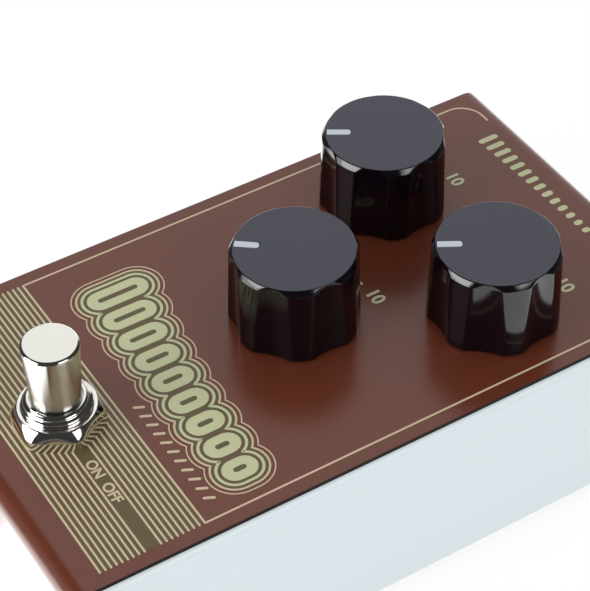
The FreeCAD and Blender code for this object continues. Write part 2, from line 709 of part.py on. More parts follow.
def pointer_corners(outer_end):
    """The pointer's outline seen from above, rounded at its inner end."""
    half = S.pointer_width / 2
    return [(S.pointer_start, -half, S.pointer_corner), (outer_end, -half), (outer_end, half),
            (S.pointer_start, half, S.pointer_corner)]


def make_lamp():
    """A 5 mm lamp whose crown stands through the cover, on a spacer above the board."""
    y = FRONT + S.led_from_front
    lamp_floor = BOARD_TOP + S.led_spacer_height
    top = TOP + S.led_stand - lamp_floor
    leg = S.led_leg / 2
    lamp = node(make_body("led", (0, y, lamp_floor)))
    spin("Revolution", lamp, [
        (0, 0), (S.led_flange_radius, 0), (S.led_flange_radius, S.led_flange_height),
        (S.led_radius, S.led_flange_height), (S.led_radius, top - S.led_crown_drop),
        (S.led_crown_radius, top), (0, top)])
    legs = sketch(lamp, "XY")
    for side in (-0.5, 0.5):
        middle = S.led_leg_pitch * side
        rectangle(legs, middle - leg, middle + leg, -leg, leg)
    pad(lamp, legs, S.led_spacer_height, backwards=True)

    spacer = node(make_body("led_spacer", (0, y, BOARD_TOP)))
    block = sketch(spacer, "XY")
    edge = S.led_radius
    rectangle(block, -edge, edge, -edge, edge)
    for side in (-0.5, 0.5):
        middle = S.led_leg_pitch * side
        rectangle(block, middle - leg, middle + leg, -leg, leg)
    pad(spacer, block, S.led_spacer_height)


def make_footswitch():
    """Switch body under the cover, its bushing, nuts and cable, and the button that travels."""
    at = (0, SWITCH_Y, TOP)
    body_top = SWITCH_BODY_TOP - TOP
    drop = S.switch_ring_drop
    bushing = node(make_body("switch_bushing", at))
    lip = S.switch_stand - S.switch_mouth_height
    spin("Revolution", bushing, [
        (S.switch_bore_radius, body_top), (S.switch_thread_radius, body_top),
        (S.switch_thread_radius, S.switch_stand - drop), (S.switch_ring_radius, S.switch_stand),
        (S.switch_mouth_radius, S.switch_stand), (S.switch_mouth_radius, lip),
        (S.switch_bore_radius, lip)])

    node(nut("switch_nut", at, Rotation(Vector(0, 0, 1), S.switch_nut_turn.number),
             S.switch_nut_flats, S.switch_thread_radius, S.switch_nut_height,
             (S.switch_nut_face, S.switch_nut_corner, S.switch_nut_side)))
    bind(nodes[-1], "Placement.Rotation.Angle", S.switch_nut_turn)
    inner_nut_floor = CEILING - S.inner_nut_height
    node(nut("switch_inner_nut", (0, SWITCH_Y, inner_nut_floor), None, S.switch_nut_flats,
             S.switch_thread_radius, S.inner_nut_height))

    guide_top = lip - S.button_stop_gap
    guide_floor = guide_top - S.button_guide_length
    guide = S.switch_bore_radius - S.button_guide_clearance
    stem_floor = body_top - S.switch_body_height + S.switch_body_floor
    stem_end = stem_floor + S.button_travel + S.stem_gap
    button = node(make_body("switch_button", at))
    turned = spin("Revolution", button, [
        (0, stem_end), (S.stem_radius, stem_end), (S.stem_radius, guide_floor),
        (guide, guide_floor), (guide, guide_top), (S.button_neck, guide_top),
        (S.button_neck, S.switch_stand), (S.button_radius, S.button_top), (0, S.button_top)])
    doc.recompute()
    top_edges = [
        f"Edge{number}" for number, edge in enumerate(turned.Shape.Edges, 1)
        if edge.BoundBox.ZLength < 0.01 and edge.BoundBox.ZMin > S.button_top.number - 0.01]
    chamfer = button.newObject("PartDesign::Chamfer", "button_edge")
    chamfer.Base = (turned, top_edges)
    bind(chamfer, "Size", S.button_edge)

    body = node(make_body("switch_body", (0, SWITCH_Y, SWITCH_BODY_TOP)))
    block = sketch(body, "XY")
    half_x = S.switch_body_x / 2
    half_y = S.switch_body_y / 2
    rectangle(block, -half_x, half_x, -half_y, half_y)
    pad(body, block, S.switch_body_height, backwards=True)
    well = circle(sketch(body, "XY"), 0, 0, S.switch_bore_radius)
    pocket(body, well, S.switch_well_depth)
    stem_way = circle(sketch(body, "XY"), 0, 0, S.stem_radius + S.stem_clearance)
    pocket(body, stem_way, S.switch_body_height - S.switch_body_floor)

    lugs = []
    lug_top = SWITCH_BODY_TOP - S.switch_body_height
    for column in (-1, 0, 1):
        for line in (-1, 0, 1):
            lug = doc.addObject("Part::Box", "lug")
            bind(lug, "Length", S.lug_width)
            bind(lug, "Width", S.lug_sheet)
            bind(lug, "Height", S.lug_length)
            lugs.append(place(lug, (
                S.lug_pitch * column - S.lug_width / 2,
                SWITCH_Y + S.lug_pitch * line - S.lug_sheet / 2, lug_top - S.lug_length)))
    group("switch_lugs", lugs)

    ribbon = node(make_body("switch_ribbon", (0, SWITCH_Y, lug_top - S.lug_length)))
    start = S.lug_pitch + S.lug_sheet / 2
    finish = BOARD_FRONT + S.ribbon_inset - SWITCH_Y
    under = S.ribbon_rise
    over = under + S.ribbon_sheet
    board = BOARD_UNDER - lug_top + S.lug_length
    side = outline(sketch(ribbon, "YZ"), [
        (start, under), (finish + S.ribbon_sheet, under, S.ribbon_bend),
        (finish + S.ribbon_sheet, board), (finish, board),
        (finish, over, S.ribbon_bend - S.ribbon_sheet), (start, over)])
    width = (S.lug_pitch + S.lug_width / 2 + S.ribbon_margin) * 2
    pad(ribbon, side, width, both_ways=True)

    spring_floor = SWITCH_BODY_TOP - S.switch_well_depth + S.spring_gap
    spring = node(make_body("switch_spring", (0, SWITCH_Y, spring_floor)))
    tube(spring, S.spring_inner, S.spring_outer, guide_floor + TOP - S.spring_gap - spring_floor)


def make_board():
    """The main board between the pots and the jacks, chips on it and capacitors under it."""
    board = node(make_body("main_board", (0, 0, BOARD_UNDER)))
    plate = sketch(board, "XY")
    rectangle(plate, -S.board_half_width, S.board_half_width, BOARD_FRONT, BACK - S.board_back,
              S.board_corner)
    pad(board, plate, S.board_sheet)

    chips = [(x, S.chip_first_row + S.chip_row_pitch * row)
             for x in (S.chip_left, S.chip_right) for row in range(2)]
    films = [(S.film_left, S.film_first + S.film_pitch * row)
             for row in range(int(S.film_count.number))]
    for label, length, width, height, floor, places in (
            ("board_chips", S.chip_length, S.chip_width, S.chip_height, BOARD_TOP, chips),
            ("film_capacitors", S.film_length, S.film_width, S.film_height,
             BOARD_UNDER - S.film_height, films)):
        boxes = []
        for x, from_front in places:
            box = doc.addObject("Part::Box", "component")
            bind(box, "Length", length)
            bind(box, "Width", width)
            bind(box, "Height", height)
            boxes.append(place(box, (x - length / 2, BOARD_FRONT + from_front - width / 2,
                                     floor)))
        group(label, boxes)

    cans = []
    for x in (-S.can_x, S.can_x):
        can = doc.addObject("Part::Cylinder", "can")
        bind(can, "Radius", S.can_radius)
        bind(can, "Height", S.can_height)
        cans.append(place(can, (x, BOARD_FRONT + S.can_first, BOARD_UNDER - S.can_height)))
    group("board_capacitors", cans)


def make_jacks():
    """Input jack at the right, output at the left, both under the board's back edge."""
    nuts, contacts = [], []
    backwards = Rotation(Vector(1, 0, 0), -90)
    half = S.jack_width / 2
    low = -S.jack_height / 2
    high = S.jack_drop
    seat = S.jack_bushing_length - S.jack_bushing_stand
    for name, x in (("input", S.jack_x), ("output", -S.jack_x)):
        jack = node(make_body(f"{name}_jack_body", (x, BACK_INNER, JACK_Z)))
        rectangle(sketch(jack, "XZ"), -half, half, low, high, S.jack_corner)
        pad(jack, jack.Group[-1], S.jack_depth)
        bore = circle(sketch(jack, "XZ"), 0, 0, S.jack_bore_radius)
        pocket(jack, bore, S.jack_bore_depth, backwards=True)
        counterbore = circle(sketch(jack, "XZ"), 0, 0, S.jack_thread_radius)
        pocket(jack, counterbore, seat, backwards=True)

        bushing = node(make_body(f"{name}_jack_bushing", (x, BACK_INNER - seat, JACK_Z), backwards))
        tube(bushing, S.jack_plug_radius, S.jack_thread_radius, S.jack_bushing_length)
        nuts.append(nut("jack_nut", (x, BACK, JACK_Z), backwards, S.jack_nut_flats,
                        S.jack_thread_radius, S.jack_nut_height))

        contact = make_body("jack_contact", (x, BACK_INNER - S.jack_bore_depth, JACK_Z))
        back = S.contact_offset
        front = back - S.contact_sheet
        bump = S.contact_bump
        run = S.contact_run
        spring = outline(sketch(contact, "XY"), [
            (front, 0), (back, 0), (back, run), (back - bump, run * 2), (back, run * 3),
            (front, run * 3), (front - bump, run * 2), (front, run)])
        pad(contact, spring, S.contact_width, both_ways=True)
        contacts.append(contact)
    group("jack_nuts", nuts)
    group("jack_tip_contacts", contacts)


def make_dc_jack():
    """The power socket between the jacks, its round nose in the cover's hole."""
    socket = node(make_body("dc_jack_body", (0, BACK_INNER, JACK_Z)))
    half = S.dc_width / 2
    rectangle(sketch(socket, "XZ"), -half, half, S.jack_drop - S.dc_height, S.jack_drop)
    pad(socket, socket.Group[-1], S.dc_depth)
    nose = circle(sketch(socket, "XZ"), 0, 0, S.dc_nose_radius)
    pad(socket, nose, S.cover_sheet, backwards=True)
    bore = circle(sketch(socket, "XZ", -S.cover_sheet), 0, 0, S.dc_bore_radius)
    pocket(socket, bore, S.dc_bore_depth, backwards=True)

    bore_floor = BACK - S.dc_bore_depth
    pin = node(make_body("dc_jack_pin", (0, bore_floor, JACK_Z), Rotation(Vector(1, 0, 0), -90)))
    length = S.dc_bore_depth - S.dc_pin_short
    tip = S.dc_pin_radius / 2
    spin("Revolution", pin, [
        (0, 0), (S.dc_pin_radius, 0), (S.dc_pin_radius, length - tip), (tip, length), (0, length)])

    contact = node(doc.addObject("Part::Box", "dc_jack_contact"))
    contact.Label = "dc_jack_contact"
    bind(contact, "Length", S.dc_contact_width)
    bind(contact, "Width", S.dc_bore_depth / 2)
    bind(contact, "Height", S.dc_contact_sheet)
    place(contact, (-S.dc_contact_width / 2, bore_floor,
                    JACK_Z - S.dc_bore_radius + S.dc_contact_sheet))


def make_battery():
    """The battery on its foam pad, with its snap and the two leads up to the board."""
    half_width = S.battery_width / 2
    half_height = S.battery_height / 2
    battery = node(make_body("battery", (S.battery_left, BATTERY_Y, BATTERY_Z)))
    block = sketch(battery, "YZ")
    rectangle(block, -half_width, half_width, -half_height, half_height, S.battery_corner)
    pad(battery, block, S.battery_length)

    pad_piece = node(make_body("battery_pad", (S.battery_left, BATTERY_Y, FLOOR)))
    foam = sketch(pad_piece, "XY")
    rectangle(foam, S.pad_margin, S.battery_length - S.pad_margin,
              S.battery_corner - half_width, half_width - S.battery_corner)
    pad(pad_piece, foam, S.pad_sheet)

    sideways = Rotation(Vector(0, 1, 0), 90)
    terminals = []
    for side, radius in ((-0.5, S.terminal_small), (0.5, S.terminal_large)):
        terminal = doc.addObject("Part::Cylinder", "terminal")
        bind(terminal, "Radius", radius)
        bind(terminal, "Height", S.terminal_length)
        y = BATTERY_Y + S.terminal_pitch * side
        terminals.append(place(terminal, (S.battery_left + S.battery_length, y, BATTERY_Z),
                               sideways))
    group("battery_terminals", terminals)

    snap = node(make_body("battery_snap", (SNAP_LEFT, BATTERY_Y, BATTERY_Z)))
    cap = sketch(snap, "YZ")
    rectangle(cap, -S.snap_width / 2, S.snap_width / 2, -S.snap_height / 2, S.snap_height / 2,
              S.snap_corner)
    pad(snap, cap, S.snap_sheet)

    for name, side in (("red", -1), ("black", 1)):
        lead = node(doc.addObject("Part::Cylinder", f"battery_lead_{name}"))
        lead.Label = f"battery_lead_{name}"
        low = BATTERY_Z + S.snap_height / 2
        bind(lead, "Radius", S.lead_radius)
        bind(lead, "Height", BOARD_UNDER - low)
        place(lead, (SNAP_LEFT + S.snap_sheet / 2, BATTERY_Y + S.lead_apart * side, low))


def check_model():
    """Stop if any object failed, any cut missed its solid, or any sub-part is not sound."""
    for item in doc.Objects:
        if "Invalid" in item.State or "Error" in item.State:
            raise RuntimeError(f"{item.Name} failed: {item.State}")
        if item.TypeId in ("PartDesign::Pocket", "PartDesign::Groove"):
            if item.BaseFeature.Shape.Volume - item.Shape.Volume < 1e-6:
                raise RuntimeError(f"{item.Name} cuts nothing")
    for item in nodes:
        if item.Shape.isNull() or not item.Shape.isValid() or not item.Shape.Solids:
            raise RuntimeError(f"{item.Label} is not a sound solid")
        print(f"{item.Label}: {len(item.Shape.Solids)} solids, {item.Shape.Volume:.1f} mm3")


def export():
    """One STEP file for each sub-part, named after it."""
    os.makedirs("parts", exist_ok=True)
    for item in nodes:
        item.Shape.exportStep(f"parts/{item.Label}.step")


make_cover()
make_tray()
make_mat()
make_cover_screws()
make_pots()
make_knobs()
make_lamp()
make_footswitch()
make_board()
make_jacks()
make_dc_jack()
make_battery()
doc.recompute()
check_model()
export()
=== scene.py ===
"""Delay pedal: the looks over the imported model, and the studio of the photograph.

Blender works in metres here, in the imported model's own frame: X to the right and Y to the back as
the player sees the pedal, Z up, and the origin on the ground in the middle of the case. Sizes
in this file are written in millimetres and turned into metres by MM.
"""
import logging
import math
from dataclasses import dataclass, field, replace
from enum import Enum
from typing import Sequence

import bmesh
import bpy
import numpy as np
from mathutils import Matrix, Vector


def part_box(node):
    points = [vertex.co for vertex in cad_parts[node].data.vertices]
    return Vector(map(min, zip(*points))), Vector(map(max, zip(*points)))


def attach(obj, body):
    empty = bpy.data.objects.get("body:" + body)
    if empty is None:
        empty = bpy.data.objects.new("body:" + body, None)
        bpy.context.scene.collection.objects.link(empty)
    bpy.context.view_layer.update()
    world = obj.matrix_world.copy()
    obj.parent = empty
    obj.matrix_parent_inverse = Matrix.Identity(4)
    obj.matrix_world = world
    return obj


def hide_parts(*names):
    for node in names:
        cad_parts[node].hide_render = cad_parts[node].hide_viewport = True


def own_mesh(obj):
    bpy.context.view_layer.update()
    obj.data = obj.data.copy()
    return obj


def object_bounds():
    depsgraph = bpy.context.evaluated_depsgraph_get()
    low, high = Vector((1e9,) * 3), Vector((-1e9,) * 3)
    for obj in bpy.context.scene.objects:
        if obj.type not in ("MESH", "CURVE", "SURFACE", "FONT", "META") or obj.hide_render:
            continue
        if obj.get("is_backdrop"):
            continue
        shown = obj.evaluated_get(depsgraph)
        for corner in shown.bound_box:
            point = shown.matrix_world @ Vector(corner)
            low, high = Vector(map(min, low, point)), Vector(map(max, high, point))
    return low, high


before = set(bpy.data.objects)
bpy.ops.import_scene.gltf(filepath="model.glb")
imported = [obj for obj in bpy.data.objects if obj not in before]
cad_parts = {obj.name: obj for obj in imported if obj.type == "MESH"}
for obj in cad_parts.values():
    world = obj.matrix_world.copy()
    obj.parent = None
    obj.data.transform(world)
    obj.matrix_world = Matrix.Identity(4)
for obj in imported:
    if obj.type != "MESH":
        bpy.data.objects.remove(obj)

LOG = logging.getLogger("delay_pedal")
MM = 0.001
PHOTO_WIDTH = 590
KNOBS = ("time", "repeats", "mix")
CREASE = 32.0
SAME_PLACE = 1e-7
NO_LENGTH = 1e-8
STROKE_END = (15.0, 35.0, 55.0, 75.0, 88.0)
LEAST_ROUGHNESS = 0.02
DRAWN_OUT = 0.04
Rgb = tuple[float, float, float]
Corner = tuple[float, float, float]
Piece = bpy.types.Object
Socket = bpy.types.NodeSocket


# Shapes


def rounded(corners: Sequence[Corner], steps: int = 6) -> np.ndarray:
    """Line of a profile whose corners are rounded.

    Each rounding is an arc that touches both neighbouring runs: its ends lie
    radius / tan(half the corner's angle) from the corner, and the points between them turn
    evenly about the arc's centre.

    Args:
        corners: x, y and rounding radius of each corner, in millimetres.
        steps: Points on one rounding.

    Returns:
        The points of the line, one row each, in millimetres.
    """
    points = np.array([corner[:2] for corner in corners], float)
    line = []
    for index, (_, _, radius) in enumerate(corners):
        here = points[index]
        if radius <= 0 or index in (0, len(corners) - 1):
            line.append(here[None, :])
            continue
        back = points[index - 1] - here
        ahead = points[index + 1] - here
        back /= np.linalg.norm(back)
        ahead /= np.linalg.norm(ahead)
        half = 0.5 * math.acos(float(np.clip(back @ ahead, -1.0, 1.0)))
        middle = (back + ahead) / np.linalg.norm(back + ahead)
        centre = here + middle * radius / math.sin(half)
        first = here + back * radius / math.tan(half) - centre
        last = here + ahead * radius / math.tan(half) - centre
        turn = math.pi - 2.0 * half
        share = np.linspace(0.0, 1.0, steps)[:, None]
        arc = (np.sin((1 - share) * turn) * first + np.sin(share * turn) * last) / math.sin(turn)
        line.append(centre + arc)
    return np.concatenate(line)


def ring_angles(count: int) -> np.ndarray:
    """Angles of evenly spaced columns round a turned piece."""
    return np.linspace(0.0, 2.0 * math.pi, count, endpoint=False)


def round_grid(radius: np.ndarray, height: np.ndarray, angle: np.ndarray) -> np.ndarray:
    """Points of a surface about the vertical: x is radius times cosine, y is radius times sine.

    Args:
        radius: Radius for each row and column.
        height: Height for each row and column.
        angle: Angle for each row and column, in radians.

    Returns:
        An array of rows, columns and three coordinates.
    """
    radius, height, angle = np.broadcast_arrays(radius, height, angle)
    return np.stack([radius * np.cos(angle), radius * np.sin(angle), height], axis=-1)


def linked(name: str, data: bpy.types.ID) -> Piece:
    """Put a new object into the scene, at the origin.

    Args:
        name: The object's name.
        data: The mesh, letters, camera or lamp that it holds.

    Returns:
        The new object.
    """
    piece = bpy.data.objects.new(name, data)
    bpy.context.scene.collection.objects.link(piece)
    return piece


def smoothed(mesh: bpy.types.Mesh, crease: float = CREASE) -> None:
    """Shade a mesh smooth, but for edges sharper than so many degrees."""
    mesh.polygons.foreach_set("use_smooth", np.ones(len(mesh.polygons), bool))
    mesh.set_sharp_from_angle(angle=math.radians(crease))


def frozen(piece: Piece) -> bpy.types.Mesh:
    """What an object shows as a mesh, with its modifiers or its letters worked out."""
    ready = piece.evaluated_get(bpy.context.evaluated_depsgraph_get())
    return bpy.data.meshes.new_from_object(ready)


def settled(name: str, mesh: bpy.types.Mesh, crease: float = CREASE) -> Piece:
    """Merge a mesh's coinciding points, face it outwards, shade it and put it in the scene.

    Args:
        name: The new object's name.
        mesh: The mesh, in metres.
        crease: Edges sharper than this many degrees stay sharp.

    Returns:
        The new object at the origin.
    """
    work = bmesh.new()
    work.from_mesh(mesh)
    bmesh.ops.remove_doubles(work, verts=work.verts, dist=SAME_PLACE)
    bmesh.ops.dissolve_degenerate(work, edges=work.edges, dist=NO_LENGTH)
    bmesh.ops.recalc_face_normals(work, faces=work.faces)
    work.to_mesh(mesh)
    work.free()
    smoothed(mesh, crease)
    return linked(name, mesh)


def shell(name: str, grid: np.ndarray, closed_rows: bool = False, crease: float = CREASE,
          capped: bool = True) -> Piece:
    """Make a mesh from a grid of points whose columns join up.

    Every four neighbouring points make one face. Where the rows don't join, the first and the
    last row are closed by a face of their own. Points that coincide are merged.

    Args:
        name: The new object's name.
        grid: Rows, columns and three coordinates, in millimetres.
        closed_rows: Whether the last row joins the first.
        crease: Edges sharper than this many degrees stay sharp.
        capped: Whether the first and the last row are closed.

    Returns:
        The new object, its place in its mesh.
    """
    rows, columns, _ = grid.shape
    index = np.arange(rows * columns).reshape(rows, columns)
    lower = index if closed_rows else index[:-1]
    upper = np.roll(index, -1, axis=0) if closed_rows else index[1:]
    corners = [lower, np.roll(lower, -1, axis=1), np.roll(upper, -1, axis=1), upper]
    faces = np.stack(corners, axis=-1).reshape(-1, 4).tolist()
    if capped and not closed_rows:
        faces += [index[0, ::-1].tolist(), index[-1].tolist()]
    mesh = bpy.data.meshes.new(name)
    mesh.from_pydata((grid.reshape(-1, 3) * MM).tolist(), [], faces)
    return settled(name, mesh, crease)


def moved(piece: Piece, place: Matrix) -> Piece:
    """Move a piece's mesh, so that the object itself stays at the origin."""
    piece.data.transform(place)
    return piece


def turned(name: str, profile: np.ndarray, centre: Vector, columns: int) -> Piece:
    """A piece turned on a lathe: its profile carried round the vertical.

    Args:
        name: The new object's name.
        profile: Radius and height of each row, in millimetres.
        centre: Where the profile's origin goes, in metres.
        columns: Points round the piece.

    Returns:
        The new object.
    """
    grid = round_grid(profile[:, :1], profile[:, 1:], ring_angles(columns)[None, :])
    return moved(shell(name, grid), Matrix.Translation(centre))


def band(name: str, left: np.ndarray, right: np.ndarray, low: float, high: float,
         closed: bool = False) -> Piece:
    """A flat strip of even thickness between two lines that run side by side.

    Row by row the strip's four corners are left low, right low, right high and left high.

    Args:
        name: The new object's name.
        left: Points of one edge, in millimetres.
        right: Points of the other edge.
        low: Height of the underside.
        high: Height of the upper side.
        closed: Whether the strip runs round and meets its own start.

    Returns:
        The new object.
    """
    corners = [np.column_stack([line, np.full(len(line), height)])
               for line, height in ((left, low), (right, low), (right, high), (left, high))]
    return shell(name, np.stack(corners, axis=1), closed_rows=closed)


def stroke(name: str, line: np.ndarray, width: float, low: float, high: float,
           closed: bool = False) -> Piece:
    """A printed line of even width with round ends.

    Each point moves half the width along the line's normal to either side. At an open end the
    half width falls as the cosine of an angle while the point goes on by its sine.

    Args:
        name: The new object's name.
        line: Points of the line's middle, in millimetres.
        width: Width of the line.
        low: Height of the underside.
        high: Height of the upper side.
        closed: Whether the line is a loop.

    Returns:
        The new object.
    """
    half = np.full(len(line), width / 2)
    if closed:
        along = np.roll(line, -1, axis=0) - np.roll(line, 1, axis=0)
    else:
        turn = np.radians(STROKE_END)
        start = line[0] - line[1]
        finish = line[-1] - line[-2]
        start = start / np.linalg.norm(start) * width / 2
        finish = finish / np.linalg.norm(finish) * width / 2
        head = line[0] + np.sin(turn[::-1])[:, None] * start
        tail = line[-1] + np.sin(turn)[:, None] * finish
        line = np.concatenate([head, line, tail])
        end = np.cos(turn) * width / 2
        half = np.concatenate([end[::-1], half, end])
        along = np.gradient(line, axis=0)
    normal = np.column_stack([-along[:, 1], along[:, 0]])
    normal /= np.linalg.norm(normal, axis=1)[:, None]
    side = normal * half[:, None]
    return band(name, line + side, line - side, low, high, closed)


def joined(name: str, pieces: Sequence[Piece]) -> Piece:
    """One object from several that lie apart, each still a closed body of its own.

    Args:
        name: The new object's name.
        pieces: The objects, which are used up.

    Returns:
        The new object.
    """
    work = bmesh.new()
    for piece in pieces:
        work.from_mesh(piece.data)
        old = piece.data
        bpy.data.objects.remove(piece)
        bpy.data.meshes.remove(old)
    mesh = bpy.data.meshes.new(name)
    work.to_mesh(mesh)
    work.free()
    return linked(name, mesh)


def cut(piece: Piece, tools: Sequence[Piece]) -> Piece:
    """Cut closed tools out of a piece and drop them.

    Args:
        piece: The piece that is cut.
        tools: The shapes taken away from it.

    Returns:
        The piece.
    """
    for tool in tools:
        step = piece.modifiers.new(tool.name, "BOOLEAN")
        step.operation = "DIFFERENCE"
        step.solver = "EXACT"
        step.object = tool
        mesh = frozen(piece)
        piece.modifiers.clear()
        piece.data = mesh
        bpy.data.objects.remove(tool)
    smoothed(piece.data)
    return piece


# Finishes


class Grain(Enum):
    """How a finish breaks up across its surface."""

    SPECKLE = "even fine specks"
    PEEL = "the soft dimples of sprayed paint"
    TURNED = "rings left by a lathe, about the vertical"
    DRAWN = "long marks left by rolling or drawing, along X"


@dataclass
class Bench:
    """The node sheet of a material or of the surroundings, with short ways to add nodes."""

    owner: bpy.types.Material | bpy.types.World

    @classmethod
    def new(cls, name: str) -> "Bench":
        """An empty sheet for a new material."""
        return cls.cleared(bpy.data.materials.new(name))

    @classmethod
    def cleared(cls, owner: bpy.types.Material | bpy.types.World) -> "Bench":
        """The emptied sheet of a material or of the surroundings.

        Args:
            owner: What the sheet belongs to.

        Returns:
            The sheet.
        """
        owner.use_nodes = True
        owner.node_tree.nodes.clear()
        return cls(owner)

    def put(self, value: object, socket: Socket) -> None:
        """Join an output to an input, or set the input to a number or a colour.

        Args:
            value: The output, number or colour.
            socket: The input.
        """
        if isinstance(value, Socket):
            self.owner.node_tree.links.new(value, socket)
        else:
            socket.default_value = value

    def add(self, kind: str, **settings: object) -> bpy.types.Node:
        """Add a node, set its properties, and set or join its inputs.

        Args:
            kind: The node's type.
            settings: Properties and inputs by name. Underscores stand for the spaces of an
                input's name, and an I with a number for the input of that number.

        Returns:
            The new node.
        """
        node = self.owner.node_tree.nodes.new(kind)
        inputs = {key: value for key, value in settings.items() if not hasattr(node, key)}
        for key, value in settings.items():
            if key not in inputs:
                setattr(node, key, value)
        for key, value in inputs.items():
            name = int(key[1:]) if key[1:].isdigit() else key.replace("_", " ")
            self.put(value, node.inputs[name])
        return node

    def finish(self, surface: Socket) -> bpy.types.Material:
        """Join the shader to the output and give the material back."""
        self.add("ShaderNodeOutputMaterial", Surface=surface)
        return self.owner

    def place(self, axis: str) -> Socket:
        """How far along an axis a point of the object lies, in the object's own frame."""
        where = self.add("ShaderNodeTexCoord").outputs["Object"]
        return self.add("ShaderNodeSeparateXYZ", Vector=where).outputs[axis]

    def math(self, operation: str, *values: object) -> Socket:
        """One sum, whose terms are sockets or numbers."""
        terms = {f"I{number}": value for number, value in enumerate(values)}
        return self.add("ShaderNodeMath", operation=operation, **terms).outputs[0]

    def step(self, value: Socket, start: float, end: float, low: float = 0.0,
             high: float = 1.0) -> Socket:
        """A smooth change from low to high while a value goes from start to end."""
        return self.add("ShaderNodeMapRange", interpolation_type="SMOOTHSTEP", Value=value,
                        From_Min=start, From_Max=end, To_Min=low, To_Max=high).outputs[0]

    def blend(self, share: Socket, first: object, second: object) -> Socket:
        """A mix of two numbers or two colours.

        Args:
            share: How much of the second goes in, from 0 to 1.
            first: A socket, number or colour.
            second: Another of the same kind.

        Returns:
            The mix.
        """
        coloured = any(isinstance(value, tuple) or getattr(value, "type", "") == "RGBA"
                       for value in (first, second))
        kind, low, high, mixed = ("RGBA", 6, 7, 2) if coloured else ("FLOAT", 2, 3, 0)
        terms = {f"I{low}": first, f"I{high}": second}
        return self.add("ShaderNodeMix", data_type=kind, Factor=share, **terms).outputs[mixed]

    def change(self, shader: bpy.types.Node, value: Socket, limit: float,
               beyond: dict[str, object]) -> None:
        """Change joined inputs of a shader where a value is over a limit.

        Args:
            shader: The shader's node.
            value: The value that is compared.
            limit: The limit.
            beyond: What the inputs are past the limit, by their names.
        """
        past = self.math("GREATER_THAN", value, limit)
        for name, other in beyond.items():
            socket = shader.inputs[name]
            self.put(self.blend(past, socket.links[0].from_socket, other), socket)


def grey(value: float) -> tuple[float, float, float, float]:
    """A grey as a colour with full cover."""
    return (value, value, value, 1.0)


@dataclass(frozen=True)
class Finish:
    """A surface finish: its colour, its gloss, and how both break up.

    Attributes:
        name: The finish's name.
        colour: Linear base colour.
        roughness: Mean roughness.
        metallic: 1 for bare metal.
        grain: The kind of break-up.
        grain_size: Size of one mark, in millimetres.
        drift: Share by which the colour goes up and down.
        gloss_drift: How far the roughness goes up and down.
        relief: Depth of the marks, in millimetres.
        ior: Index of refraction.
    """

    name: str
    colour: Rgb
    roughness: float
    metallic: float = 0.0
    grain: Grain = Grain.SPECKLE
    grain_size: float = 0.6
    drift: float = 0.06
    gloss_drift: float = 0.05
    relief: float = 0.004
    ior: float = 1.5

    def marks(self, bench: Bench) -> Socket:
        """Noise from 0 to 1 in the grain's pattern, on object coordinates.

        Args:
            bench: The material's sheet.

        Returns:
            The noise's value.
        """
        if self.grain is Grain.TURNED:
            where = bench.add("ShaderNodeCombineXYZ", Z=bench.place("Z")).outputs[0]
        else:
            where = bench.add("ShaderNodeTexCoord").outputs["Object"]
        fine = 1.0 / (self.grain_size * MM)
        along = DRAWN_OUT if self.grain is Grain.DRAWN else 1.0
        laid = bench.add("ShaderNodeMapping", Vector=where, Scale=(fine * along, fine, fine))
        detail = 1.0 if self.grain is Grain.PEEL else 3.0
        return bench.add("ShaderNodeTexNoise", Vector=laid.outputs[0], Scale=1.0,
                         Detail=detail).outputs["Fac"]

    def tones(self, bench: Bench, marks: Socket) -> Socket:
        """The colour, lighter and darker with the marks."""
        dark, light = ((*[min(1.0, channel * share) for channel in self.colour], 1.0)
                       for share in (1 - self.drift, 1 + self.drift))
        return bench.blend(marks, dark, light)

    def gloss(self, bench: Bench, marks: Socket) -> Socket:
        """The roughness, higher and lower with the marks."""
        return bench.add("ShaderNodeMapRange", Value=marks,
                         To_Min=max(LEAST_ROUGHNESS, self.roughness - self.gloss_drift),
                         To_Max=min(1.0, self.roughness + self.gloss_drift)).outputs[0]

    def shader(self, bench: Bench) -> bpy.types.Node:
        """The finish's shader, with everything joined to it.

        Args:
            bench: The material's sheet.

        Returns:
            The shader's node.
        """
        marks = self.marks(bench)
        bump = bench.add("ShaderNodeBump", Height=marks, Distance=self.relief * MM)
        return bench.add("ShaderNodeBsdfPrincipled", Base_Color=self.tones(bench, marks),
                         Roughness=self.gloss(bench, marks), Metallic=self.metallic,
                         IOR=self.ior, Normal=bump.outputs[0])

    def material(self) -> bpy.types.Material:
        """The finish as a material, made once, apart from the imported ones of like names.

        Returns:
            The material.
        """
        made = bpy.data.materials.get(f"{self.name}_finish")
        if made is None:
            bench = Bench.new(f"{self.name}_finish")
            made = bench.finish(self.shader(bench).outputs[0])
        return made


@dataclass(frozen=True)
class TwoToneFinish(Finish):
    """A moulding whose flat face, above a height, has a finish of its own.

    Attributes:
        face_from: Height from which the face's finish holds, in metres.
        face_colour: Linear colour of the face.
        face_roughness: Roughness of the face.
    """

    face_from: float = 0.0
    face_colour: Rgb = (0.0, 0.0, 0.0)
    face_roughness: float = 0.4

    def shader(self, bench: Bench) -> bpy.types.Node:
        """The sides' shader, its colour and roughness changed at the face's height.

        Args:
            bench: The material's sheet.

        Returns:
            The shader's node.
        """
        surface = super().shader(bench)
        bench.change(surface, bench.place("Z"), self.face_from,
                     {"Base Color": (*self.face_colour, 1.0), "Roughness": self.face_roughness})
        return surface


